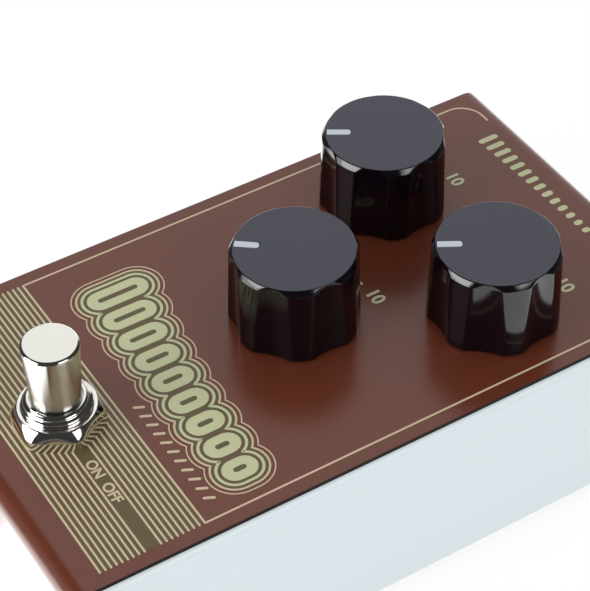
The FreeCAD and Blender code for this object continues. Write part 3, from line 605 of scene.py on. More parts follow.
@dataclass(frozen=True)
class SheetFinish(Finish):
    """Enamel on a cut sheet, rougher on the cut edges at both sides, where a nearly black colour is
    painted shade of the dark seam between the cover and the tray.

    Attributes:
        edge_from: Distance from the middle, along X, at which the cut edge starts, in metres.
        edge_shade_colour: Linear colour of the cut edge, nearly black: painted shade of the seam
            beside the tray.
        edge_roughness: Roughness of the cut edge.
    """

    edge_from: float = 1.0
    edge_shade_colour: Rgb = (0.0, 0.0, 0.0)
    edge_roughness: float = 0.9

    def shader(self, bench: Bench) -> bpy.types.Node:
        """The sheet's shader, its colour turned to painted seam shade and its roughness raised at
        the cut edges.

        Args:
            bench: The material's sheet.

        Returns:
            The shader's node.
        """
        surface = super().shader(bench)
        # Past the limit the colour is painted shade of the seam between cover and tray; the higher
        # roughness is the cut edge's own.
        bench.change(surface, bench.math("ABSOLUTE", bench.place("X")), self.edge_from,
                     {"Base Color": (*self.edge_shade_colour, 1.0), "Roughness": self.edge_roughness})
        return surface


@dataclass(frozen=True)
class LatheFinish(Finish):
    """Plated metal whose fine turning marks draw a highlight out along the axis.

    Attributes:
        draw: How far highlights are drawn out, from 0 to 1.
        draw_turn: Turn of the drawn highlights, as a share of a whole turn.
        marks_end: Height above which the metal is polished, in metres.
        polish: Roughness of the polished end.
    """

    draw: float = 1.0
    draw_turn: float = 0.25
    marks_end: float = 1.0
    polish: float = 0.07

    def shader(self, bench: Bench) -> bpy.types.Node:
        """The shader, its tangent running round the vertical.

        Args:
            bench: The material's sheet.

        Returns:
            The shader's node.
        """
        surface = super().shader(bench)
        bench.change(surface, bench.place("Z"), self.marks_end, {"Roughness": self.polish})
        surface.inputs["Anisotropic"].default_value = self.draw
        surface.inputs["Anisotropic Rotation"].default_value = self.draw_turn
        round_axis = bench.add("ShaderNodeTangent", direction_type="RADIAL", axis="Z")
        bench.put(round_axis.outputs[0], surface.inputs["Tangent"])
        return surface


@dataclass(frozen=True)
class ResinFinish(Finish):
    """Clear tinted resin.

    Attributes:
        clear: Share of the light that goes through.
    """

    clear: float = 0.75

    def shader(self, bench: Bench) -> bpy.types.Node:
        """The shader, letting light through.

        Args:
            bench: The material's sheet.

        Returns:
            The shader's node.
        """
        surface = super().shader(bench)
        surface.inputs["Transmission Weight"].default_value = self.clear
        return surface


# The brown enamel's nearly black edge colour is painted shade of the seam between the cover and the
# tray.
BROWN_ENAMEL = SheetFinish("brown_enamel", (0.128, 0.031, 0.015), 0.24, grain=Grain.PEEL,
                           grain_size=0.9, drift=0.05, gloss_drift=0.03, relief=0.003,
                           ior=1.52, edge_from=0.03497, edge_shade_colour=(0.012, 0.005, 0.003))
PALE_ENAMEL = Finish("pale_enamel", (0.80, 0.88, 0.915), 0.34, grain=Grain.PEEL,
                     grain_size=0.9, drift=0.015, gloss_drift=0.04, relief=0.003, ior=1.36)
CREAM_INK = Finish("cream_ink", (0.60, 0.49, 0.32), 0.45, grain_size=0.3, drift=0.05)
GREEN_INK = Finish("green_cream_ink", (0.54, 0.56, 0.33), 0.45, grain_size=0.3, drift=0.05)
OLIVE_INK = Finish("olive_ink", (0.110, 0.078, 0.030), 0.40, grain_size=0.4, drift=0.06)
SWITCH_CHROME = Finish("switch_chrome", (0.83, 0.82, 0.78), 0.07, 1.0, grain_size=0.25,
                       drift=0.02, gloss_drift=0.03, relief=0.0004)
BUTTON_CHROME = LatheFinish("button_chrome", (0.78, 0.77, 0.72), 0.19, 1.0, grain_size=1.4,
                            drift=0.02, gloss_drift=0.02, relief=0.0004)
NICKEL = Finish("nickel_plate", (0.66, 0.64, 0.60), 0.24, 1.0, grain_size=0.3, drift=0.05)
TURNED_STEEL = Finish("turned_steel", (0.60, 0.60, 0.59), 0.28, 1.0, grain=Grain.TURNED,
                      grain_size=0.15, drift=0.05, relief=0.003)
ROLLED_STEEL = Finish("rolled_steel", (0.56, 0.56, 0.55), 0.33, 1.0, grain=Grain.DRAWN,
                      grain_size=0.2, drift=0.06, relief=0.003)
TINNED = Finish("tinned_copper", (0.72, 0.71, 0.68), 0.3, 1.0, grain_size=0.4, drift=0.08)
SPRING_STEEL = Finish("spring_steel", (0.50, 0.50, 0.51), 0.25, 1.0, grain=Grain.DRAWN,
                      grain_size=0.1, drift=0.05)
POINTER_WHITE = Finish("pointer_white", (0.55, 0.60, 0.66), 0.42, grain_size=0.3, drift=0.04)
RUBBER = Finish("mat_rubber", (0.022, 0.022, 0.022), 0.72, grain_size=0.35, drift=0.25,
                gloss_drift=0.1, relief=0.03)
BLACK_NYLON = Finish("black_nylon", (0.022, 0.022, 0.024), 0.48, grain_size=0.3, drift=0.15,
                     relief=0.008)
BLUE_PHENOLIC = Finish("blue_phenolic", (0.02, 0.09, 0.26), 0.42, grain_size=0.5, drift=0.12)
SOLDER_MASK = Finish("solder_mask", (0.008, 0.10, 0.035), 0.30, grain=Grain.DRAWN,
                     grain_size=1.6, drift=0.25, relief=0.02)
FILM_RED = Finish("film_capacitor_red", (0.36, 0.035, 0.02), 0.28, grain_size=1.0, drift=0.1)
CAN_SLEEVE = Finish("can_sleeve", (0.012, 0.020, 0.05), 0.26, grain_size=0.8, drift=0.15)
BATTERY_WRAP = Finish("battery_wrap", (0.05, 0.05, 0.055), 0.28, 0.4, grain=Grain.DRAWN,
                      grain_size=0.5, drift=0.1)
FOAM = Finish("grey_foam", (0.10, 0.10, 0.10), 0.9, grain_size=0.25, drift=0.4, relief=0.12)
RED_LEAD = Finish("red_lead", (0.45, 0.015, 0.012), 0.4, grain_size=0.5, drift=0.06)
BLACK_LEAD = Finish("black_lead", (0.015, 0.015, 0.015), 0.4, grain_size=0.5, drift=0.1)
GREY_CABLE = Finish("grey_cable", (0.30, 0.31, 0.33), 0.5, grain=Grain.DRAWN, grain_size=0.9,
                    drift=0.18, relief=0.05)
LAMP_RESIN = ResinFinish("lamp_resin", (0.10, 0.006, 0.006), 0.08, grain_size=1.2, drift=0.05,
                         relief=0.001)
KNOB_PLASTIC = TwoToneFinish("knob_plastic", (0.004, 0.002, 0.004), 0.11, grain_size=1.5,
                             drift=0.1, gloss_drift=0.02, relief=0.0008,
                             face_colour=(0.035, 0.036, 0.057), face_roughness=0.34)


def paint(node: str, finish: Finish) -> None:
    """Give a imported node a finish, leaving its shape alone.

    Args:
        node: The node's name.
        finish: Its finish.
    """
    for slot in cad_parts[node].material_slots:
        slot.material = finish.material()
    LOG.info("%s: %s", node, finish.name)


def dress(piece: Piece, finish: Finish, body: str,
          instead_of: Sequence[str] = ()) -> Piece:
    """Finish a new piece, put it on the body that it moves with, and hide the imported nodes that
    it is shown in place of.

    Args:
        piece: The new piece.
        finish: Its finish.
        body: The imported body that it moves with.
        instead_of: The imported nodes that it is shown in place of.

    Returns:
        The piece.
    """
    piece.data.materials.clear()
    piece.data.materials.append(finish.material())
    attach(piece, body)
    if instead_of:
        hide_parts(*instead_of)
    LOG.info("%s: %s on %s", piece.name, finish.name, body)
    return piece


# The pedal


@dataclass
class Case:
    """The folded case and the plain pieces inside it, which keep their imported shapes.

    Attributes:
        finishes: Each finish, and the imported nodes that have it.
    """

    finishes: tuple[tuple[Finish, str], ...] = (
        (BROWN_ENAMEL, "top_cover"), (PALE_ENAMEL, "base_tray"), (RUBBER, "rubber_mat"),
        (NICKEL, "cover_screws pot_nuts switch_inner_nut jack_nuts battery_terminals"),
        (TINNED, "pot_pins switch_lugs jack_tip_contacts dc_jack_pin dc_jack_contact"),
        (BLACK_NYLON, "led_spacer board_chips input_jack_body output_jack_body dc_jack_body"
                      " battery_snap"),
        (ROLLED_STEEL, "time_pot_body repeats_pot_body mix_pot_body"),
        (BLUE_PHENOLIC, "switch_body"), (GREY_CABLE, "switch_ribbon"),
        (SOLDER_MASK, "main_board"), (FILM_RED, "film_capacitors"),
        (CAN_SLEEVE, "board_capacitors"), (BATTERY_WRAP, "battery"), (FOAM, "battery_pad"),
        (RED_LEAD, "battery_lead_red"), (BLACK_LEAD, "battery_lead_black"))

    def build(self) -> None:
        """Give the case and the pieces inside their finishes."""
        for finish, nodes in self.finishes:
            for node in nodes.split():
                paint(node, finish)


@dataclass
class PlatePrint:
    """What is printed on the plate, as thin layers of ink.

    Places are given as x from the plate's middle and v from its front face, in millimetres. A
    line round the row of bars has its distance from them and its width.
    """

    ink: float = 0.03
    lift: float = 0.002
    line_x: float = 32.31
    line_width: float = 0.38
    corner: float = 4.7
    corner_steps: int = 16
    back_line: float = 122.0
    back_end: float = 25.9
    stripe_first: float = 6.72
    stripe_pitch: float = 0.994
    stripe_count: int = 20
    stripe_width: float = 0.36
    gap_stripes: tuple[int, int] = (9, 10)
    gap_from: float = 7.6
    hole_radius: float = 6.4
    hole_columns: int = 64
    row_first: float = -21.5
    row_pitch: float = 5.85
    row_half_width: float = 2.3
    row_base: float = 35.3
    row_heights: tuple[float, ...] = (11.8, 10.2, 9.1, 8.3, 7.7, 7.2, 6.9, 6.6, 6.4)
    row_columns: int = 700
    slot_width: float = 1.0
    slot_least: float = 0.3
    slot_margin: float = 0.2
    ground: float = 1.65
    inner_line: tuple[float, float] = (0.85, 0.5)
    middle_line: tuple[float, float] = (1.85, 0.36)
    outer_line: tuple[float, float] = (2.75, 0.22)
    mark_pitch: float = 2.35
    lozenge_run: tuple[float, float] = (4.6, 28.4)
    lozenge_lean: float = 0.35
    lozenge_ends: tuple[float, float] = (28.1, 29.5)
    lozenge_width: float = 0.55
    back_count: int = 19
    back_first: float = -21.2
    back_middle: float = 118.85
    back_height: float = 4.2
    back_fade: float = 0.93
    back_width: float = 1.2
    boldness: float = 0.028
    words_at: tuple[float, float] = (16.0, 16.16)
    words_height: float = 2.0
    numbers_x: float = 17.45
    numbers_v: float = 106.8
    repeats_v: float = 77.0
    numbers_height: float = 2.7
    front: float = field(init=False)
    low: float = field(init=False)
    hole_v: float = field(init=False)
    last_stripe: float = field(init=False)
    bar_x: np.ndarray = field(init=False)
    bar_top: np.ndarray = field(init=False)

    def __post_init__(self) -> None:
        """Read the plate's front edge and height and the switch's place, and set out the rows."""
        lowest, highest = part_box("top_cover")
        self.front = lowest.y / MM
        self.low = highest.z / MM + self.lift
        lowest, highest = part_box("switch_button")
        self.hole_v = (lowest.y + highest.y) / 2 / MM - self.front
        self.last_stripe = self.stripe_first + self.stripe_pitch * (self.stripe_count - 1)
        heights = np.array(self.row_heights)
        self.bar_x = self.row_first + self.row_pitch * np.arange(len(heights))
        self.bar_top = self.row_base + heights - 2 * self.row_half_width

    def on_plate(self, x: np.ndarray | float, v: np.ndarray | float) -> np.ndarray:
        """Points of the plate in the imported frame."""
        x, v = np.broadcast_arrays(np.asarray(x, float), np.asarray(v, float))
        return np.column_stack([x, v + self.front])

    def line(self, name: str, points: np.ndarray, width: float, layer: int = 1,
             closed: bool = False) -> Piece:
        """One printed line; a higher layer lies over a lower one."""
        return stroke(name, points, width, self.low, self.low + self.ink * layer, closed)

    def marks(self, name: str, lines: Sequence[tuple[np.ndarray | float, np.ndarray | float]],
              width: float, layer: int = 1) -> Piece:
        """Printed lines of one width as one piece, each given as its x and its v."""
        return joined(name, [self.line(name, self.on_plate(x, v), width, layer)
                             for x, v in lines])

    def frame_line(self) -> Piece:
        """The line along both sides and round the back corners.

        Returns:
            Both halves as one piece.
        """
        bend = np.radians(np.linspace(0.0, 90.0, self.corner_steps))
        x = np.concatenate([[self.line_x], self.line_x - self.corner + self.corner * np.cos(bend),
                            [self.back_end]])
        v = np.concatenate([[self.last_stripe],
                            self.back_line - self.corner + self.corner * np.sin(bend),
                            [self.back_line]])
        return self.marks("frame_line", [(x * side, v) for side in (-1, 1)], self.line_width)

    def stripes(self) -> Piece:
        """The stripes across the front, broken for the switch's hole and for its words.

        Returns:
            All stripes as one piece.
        """
        lines = []
        for count in range(self.stripe_count):
            v = self.stripe_first + self.stripe_pitch * count
            reach = math.sqrt(max(0.0, self.hole_radius ** 2 - (v - self.hole_v) ** 2))
            spans = [(-self.line_x, -reach), (reach, self.line_x)]
            if count in self.gap_stripes:
                spans = [(-self.line_x, -self.gap_from)]
            elif not reach:
                spans = [(-self.line_x, self.line_x)]
            lines += [(np.array(span), v) for span in spans]
        return self.marks("stripes", lines, self.stripe_width, 2)

    def stripe_ground(self) -> Piece:
        """The darker ground that the stripes are printed on, open round the switch.

        Returns:
            The ground.
        """
        margin = self.stripe_pitch / 4
        x = np.array([-self.line_x, self.line_x])
        ground = band("stripe_ground", self.on_plate(x, self.stripe_first - margin),
                      self.on_plate(x, self.last_stripe + margin), self.low, self.low + self.ink)
        rod = np.array([[0, -1], [self.hole_radius, -1], [self.hole_radius, 1], [0, 1]])
        centre = Vector((0, self.hole_v + self.front, self.low)) * MM
        return cut(ground, [turned("switch_hole", rod, centre, self.hole_columns)])

    def edges(self, grow: float) -> tuple[np.ndarray, np.ndarray, np.ndarray]:
        """Lower and upper edge of the row of bars, grown by a distance.

        A bar is a stadium: two half circles joined by straight sides. The upper edge at x is the
        highest of all bars' upper half circles there, and the lower edge the lowest of their
        lower ones. x runs by the cosine of an even angle, so that it is dense at both ends.

        Args:
            grow: Distance outside the bars, in millimetres.

        Returns:
            x, lower v and upper v.
        """
        radius = self.row_half_width + grow
        left, right = self.bar_x[0] - radius, self.bar_x[-1] + radius
        even = np.cos(np.linspace(0, math.pi, self.row_columns))
        x = (left + right) / 2 - (right - left) / 2 * even
        away = x[None, :] - self.bar_x[:, None]
        inside = np.abs(away) <= radius + 1e-9
        rise = np.sqrt(np.clip(radius ** 2 - away ** 2, 0.0, None))
        upper = np.where(inside, self.bar_top[:, None] + rise, -np.inf).max(axis=0)
        lower = np.where(inside, self.row_base - rise, np.inf).min(axis=0)
        return x, lower, upper

    def row_outline(self, name: str, grow: float, width: float) -> Piece:
        """A line round the whole row of bars.

        Args:
            name: The new object's name.
            grow: Its distance from the bars, in millimetres.
            width: Its width.

        Returns:
            The new object.
        """
        x, lower, upper = self.edges(grow)
        loop = np.concatenate([self.on_plate(x, lower), self.on_plate(x, upper)[-2:0:-1]])
        return self.line(name, loop, width, 2, closed=True)

    def row_ground(self) -> Piece:
        """The darker ground under the row of bars."""
        x, *edges = self.edges(self.ground)
        return band("row_ground", *[self.on_plate(x, v) for v in edges], self.low,
                    self.low + self.ink)

    def bars(self) -> Piece:
        """The row of fading bars."""
        lines = [(x, np.linspace(self.row_base, top, 3))
                 for x, top in zip(self.bar_x, self.bar_top)]
        return self.marks("fading_bars", lines, self.row_half_width * 2, 2)

    def bar_slots(self) -> Piece:
        """A dark slot in each bar, under half as high as the bar.

        Returns:
            All slots as one piece.
        """
        lines = []
        for x, top in zip(self.bar_x, self.bar_top):
            half = max(self.slot_least, (top - self.row_base) / 2 - self.slot_margin)
            middle = (self.row_base + top) / 2
            lines.append((x, np.linspace(middle - half, middle + half, 3)))
        return self.marks("bar_slots", lines, self.slot_width, 3)

    def lozenges(self) -> Piece:
        """A row of small leaning lozenges between the stripes and the bars."""
        lines = [(np.array([x - self.lozenge_lean, x + self.lozenge_lean]), self.lozenge_ends)
                 for x in np.arange(*self.lozenge_run, self.mark_pitch)]
        return self.marks("lozenge_row", lines, self.lozenge_width)

    def back_bars(self) -> Piece:
        """A row of bars at the back that fade from left to right.

        Returns:
            All bars as one piece.
        """
        lines = []
        for count in range(self.back_count):
            half = (self.back_height * self.back_fade ** count - self.back_width) / 2
            lines.append((self.back_first + self.mark_pitch * count,
                          self.back_middle + np.array([-half, half])))
        return self.marks("back_bars", lines, self.back_width)

    def words(self, name: str, text: str, x: float, v: float, height: float) -> Piece:
        """Plain numbers or words, centred on a place.

        Args:
            name: The new object's name.
            text: What is printed.
            x: Middle of the text.
            v: Middle of the text from the front face.
            height: Height of a capital, in millimetres.

        Returns:
            The new object, a mesh.
        """
        curve = bpy.data.curves.new(name, "FONT")
        curve.body = text
        curve.align_x = "CENTER"
        curve.offset = self.boldness
        curve.extrude = self.ink
        holder = linked(name, curve)
        mesh = frozen(holder)
        bpy.data.objects.remove(holder)
        points = np.empty(len(mesh.vertices) * 3, np.float32)
        mesh.vertices.foreach_get("co", points)
        points = points.reshape(-1, 3)
        low, high = points.min(axis=0), points.max(axis=0)
        scale = height / (high[1] - low[1])
        points = (points - (low + high) / 2) * [scale, scale, self.ink * 2 / (high[2] - low[2])]
        points += [x, v + self.front, self.low + self.ink]
        mesh.vertices.foreach_set("co", (points * MM).astype(np.float32).ravel())
        return settled(name, mesh)

    def build(self) -> None:
        """Print everything and lay it on the case."""
        cream = [
            self.frame_line(), self.stripes(), self.lozenges(),
            self.row_outline("row_middle_line", *self.middle_line),
            self.row_outline("row_outer_line", *self.outer_line),
            self.words("switch_words", "ON  OFF", *self.words_at, self.words_height)]
        green = [self.row_outline("row_inner_line", *self.inner_line), self.bars(),
                 self.back_bars()]
        for name, text, x, v in (("time_numbers", "0 - 10", -self.numbers_x, self.numbers_v),
                                 ("mix_numbers", "0-10", self.numbers_x, self.numbers_v),
                                 ("repeats_numbers", "0  -  10", 0.0, self.repeats_v)):
            green.append(self.words(name, text, x, v, self.numbers_height))
        olive = [self.stripe_ground(), self.row_ground(), self.bar_slots()]
        for ink, pieces in ((CREAM_INK, cream), (GREEN_INK, green), (OLIVE_INK, olive)):
            for piece in pieces:
                dress(piece, ink, "case")


@dataclass
class Knob:
    """A fluted knob with its pointer, shaft and grub screw.

    Heights are from the knob's lowest edge, in millimetres.
    """

    name: str
    height: float = 15.7
    base_radius: float = 11.75
    foot_edge: float = 0.25
    taper_foot: tuple[tuple[float, float], ...] = ((11.7, 1.5), (11.67, 2.4))
    taper_end: float = 11.26
    taper_rows: int = 10
    taper_gap: float = 0.3
    rim_gap: float = 0.25
    rim_radius: float = 11.25
    rim_edge: float = 0.12
    face_radius: float = 10.5
    face_edge: float = 0.34
    face_ring: float = 9.9
    face_rows: int = 12
    face_circles: tuple[float, ...] = (8.0, 5.0, 2.0, 0.0)
    face_skin: float = 0.02
    chamfer: float = 1.0
    chamfer_steps: int = 7
    flutes: int = 7
    flute_radius: float = 11.5
    flute_floor: float = 10.65
    flute_least: float = 0.07
    flute_columns: tuple[float, ...] = (0.0, 0.2, 0.4, 0.6, 0.75, 0.86, 0.93, 0.97, 1.0)
    wall_columns: tuple[float, ...] = (0.03, 0.08, 0.16, 0.3, 0.5, 0.75, 1.0)
    plain_within: float = 10.0
    blend: float = 0.22
    recess_radius: float = 8.5
    recess_depth: float = 5.0
    recess_edge: float = 0.3
    bore_radius: float = 3.0
    bore_ceiling: float = 13.0
    groove_width: float = 1.6
    groove_corner: float = 0.5
    groove_start: float = 5.9
    groove_end: float = 10.45
    groove_depth: float = 0.9
    inlay_gap: float = 0.12
    inlay_rise: float = 0.02
    grub_height: float = 8.5
    grub_radius: float = 1.5
    grub_from: float = 4.2
    grub_to: float = 14.0
    grub_columns: int = 32

    def place(self) -> Matrix:
        """Where the knob sits, turned so that its own X points along the pointer.

        Returns:
            The knob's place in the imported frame.
        """
        low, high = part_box(f"{self.name}_shaft")
        knob_low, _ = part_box(f"{self.name}_knob")
        pointer_low, pointer_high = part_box(f"{self.name}_pointer")
        centre = (low + high) / 2
        away = (pointer_low + pointer_high) / 2 - centre
        turn = Matrix.Rotation(math.atan2(away.y, away.x), 4, "Z")
        return Matrix.Translation((centre.x, centre.y, knob_low.z)) @ turn

    def profile(self) -> np.ndarray:
        """The knob as a turned piece: bore, recess, tapered side, chamfer and face.

        The face's outer ring has many rows, because the flutes' rounded edges end there.

        Returns:
            Radius and height of each row.
        """
        top = self.height
        shoulder = top - self.chamfer
        lower, upper = self.taper_foot
        inside = rounded([
            (0.0, self.bore_ceiling, 0), (self.bore_radius, self.bore_ceiling, 0),
            (self.bore_radius, self.recess_depth, 0),
            (self.recess_radius, self.recess_depth, self.recess_edge),
            (self.recess_radius, 0.0, 0), (self.base_radius, 0.0, self.foot_edge), (*lower, 0)])
        side = np.linspace(upper, (self.taper_end, shoulder - self.taper_gap), self.taper_rows)
        edge = rounded([
            (self.taper_end, shoulder - self.rim_gap, 0),
            (self.rim_radius, shoulder, self.rim_edge),
            (self.face_radius + self.face_edge / 2, top, self.face_edge),
            (self.face_ring, top, 0)], self.chamfer_steps)[:-1]
        ring = np.linspace(edge[-1, 0], self.face_ring, self.face_rows)[1:]
        circles = np.concatenate([ring, self.face_circles])
        return np.concatenate([inside, side, edge,
                               np.column_stack([circles, np.full(len(circles), top)])])

    def outer(self) -> Piece:
        """The knob's body.

        Its rows are a turned profile. Its radius is the smooth lesser of that profile and the
        flutes, where a flute is a cylinder of its own radius whose axis stands outside the
        knob: at an angle a from the flute's middle its wall is
        distance * cos(a) - sqrt(radius^2 - (distance * sin(a))^2). Columns crowd where the two
        meet, so the edge between them is cleanly rounded.

        Returns:
            The new object.
        """
        profile = self.profile()
        away = self.flute_floor + self.flute_radius
        reach = np.clip(profile[:, 0], self.flute_floor + self.flute_least, self.base_radius)
        meet = np.arccos((reach ** 2 + away ** 2 - self.flute_radius ** 2) / (2 * reach * away))
        sector = math.pi / self.flutes
        meet = meet[:, None]
        half = np.concatenate([np.array(self.flute_columns) * meet,
                               meet + np.array(self.wall_columns) * (sector - meet)], axis=1)
        side = np.concatenate([-half[:, :0:-1], half[:, :-1]], axis=1)
        off = np.tile(side, self.flutes)
        middles = math.pi + 2 * sector * np.repeat(np.arange(self.flutes), side.shape[1])
        wall = away * np.cos(off) - np.sqrt(self.flute_radius ** 2 - (away * np.sin(off)) ** 2)
        round_radius = np.broadcast_to(profile[:, :1], off.shape)
        apart = np.clip(0.5 + 0.5 * (wall - round_radius) / self.blend, 0.0, 1.0)
        radius = wall + (round_radius - wall) * apart - self.blend * apart * (1 - apart)
        radius = np.where(round_radius < self.plain_within, round_radius, radius)
        grid = round_grid(radius, profile[:, 1:], middles[None, :] + off)
        return shell(f"{self.name}_knob_body", grid)

    def bar(self, name: str, gap: float, top: float) -> Piece:
        """A bar of the pointer groove's shape, smaller all round by a gap.

        Args:
            name: The new object's name.
            gap: The gap, in millimetres.
            top: Height of its upper side.

        Returns:
            The new object.
        """
        half = self.groove_width / 2 - gap
        start, end = self.groove_start + gap, self.groove_end - gap
        left = rounded([(start, 0.0, 0), (start, half, self.groove_corner), (end, half, 0)])
        return band(name, left, left * [1, -1], self.height - self.groove_depth + gap, top)

    def tools(self) -> list[Piece]:
        """What is cut from the body.

        Returns:
            The pointer's groove and the grub screw's hole.
        """
        groove = self.bar("groove", 0.0, self.height + 1)
        ends = [(0, self.grub_from), (self.grub_radius, self.grub_from),
                (self.grub_radius, self.grub_to), (0, self.grub_to)]
        lay = Matrix.Translation((0, 0, self.grub_height * MM)) @ Matrix.Rotation(
            math.radians(-90), 4, "Y")
        return [groove, moved(turned("grub_hole", np.array(ends), Vector(), self.grub_columns),
                              lay)]

    def build(self) -> None:
        """Build the knob's body and dress everything that turns with it."""
        place = self.place()
        body = moved(cut(self.outer(), self.tools()), place)
        face = place.translation.z + (self.height - self.face_skin) * MM
        plastic = replace(KNOB_PLASTIC, name=f"{self.name}_knob_plastic", face_from=face)
        turns = f"{self.name}_control"
        dress(body, plastic, turns, [f"{self.name}_knob"])
        inlay = moved(self.bar(f"{self.name}_inlay", self.inlay_gap,
                               self.height + self.inlay_rise), place)
        dress(inlay, POINTER_WHITE, turns, [f"{self.name}_pointer"])
        paint(f"{self.name}_shaft", TURNED_STEEL)
        paint(f"{self.name}_knob_screw", BLACK_NYLON)


@dataclass
class Thread:
    """A threaded sleeve: a tube whose outside carries a fine thread.

    Attributes:
        outer: Radius over the thread.
        inner: Radius of the bore.
        length: Length of the sleeve.
        pitch: Rise of the thread in one turn.
        depth: Depth of the thread.
        mouth: Radius of the opening's lip.
        lip: Height of the lip.
        ring: Radius of the flat ring at the end.
        drop: Height of the sloped end.
        turn_rows: Rows to one turn of the thread.
        slope_rows: Rows on the sloped end.
        columns: Points round the sleeve.
        crease: Edges sharper than this many degrees stay sharp.
    """

    outer: float
    inner: float
    length: float
    pitch: float
    depth: float
    mouth: float
    lip: float
    ring: float
    drop: float
    turn_rows: int = 10
    slope_rows: int = 10
    columns: int = 120
    crease: float = 50.0

    def build(self, name: str) -> Piece:
        """Make the sleeve standing on the origin.

        The outside's radius at height z and angle a is the sleeve's less
        depth * (1 - cos(2 pi z / pitch - a)) / 2.

        Args:
            name: The new object's name.

        Returns:
            The new object.
        """
        straight = self.length - self.drop
        count = int(straight / self.pitch * self.turn_rows)
        outside = np.column_stack([np.full(count, self.outer), np.linspace(0, straight, count),
                                   np.full(count, self.depth)])
        slope = np.linspace(0, 1, self.slope_rows)[1:]
        top = np.column_stack([
            self.outer - (self.outer - self.ring) * slope, straight + self.drop * slope,
            self.depth * (1 - slope)])
        inside = np.array([[self.mouth, self.length, 0], [self.mouth, self.length - self.lip, 0],
                           [self.inner, self.length - self.lip, 0], [self.inner, 0, 0]])
        rows = np.concatenate([outside, top, inside])
        angle = ring_angles(self.columns)[None, :]
        wave = 0.5 - 0.5 * np.cos(2 * math.pi * rows[:, 1:2] / self.pitch - angle)
        radius = rows[:, :1] - rows[:, 2:3] * wave
        return shell(name, round_grid(radius, rows[:, 1:2], angle), closed_rows=True,
                     crease=self.crease)


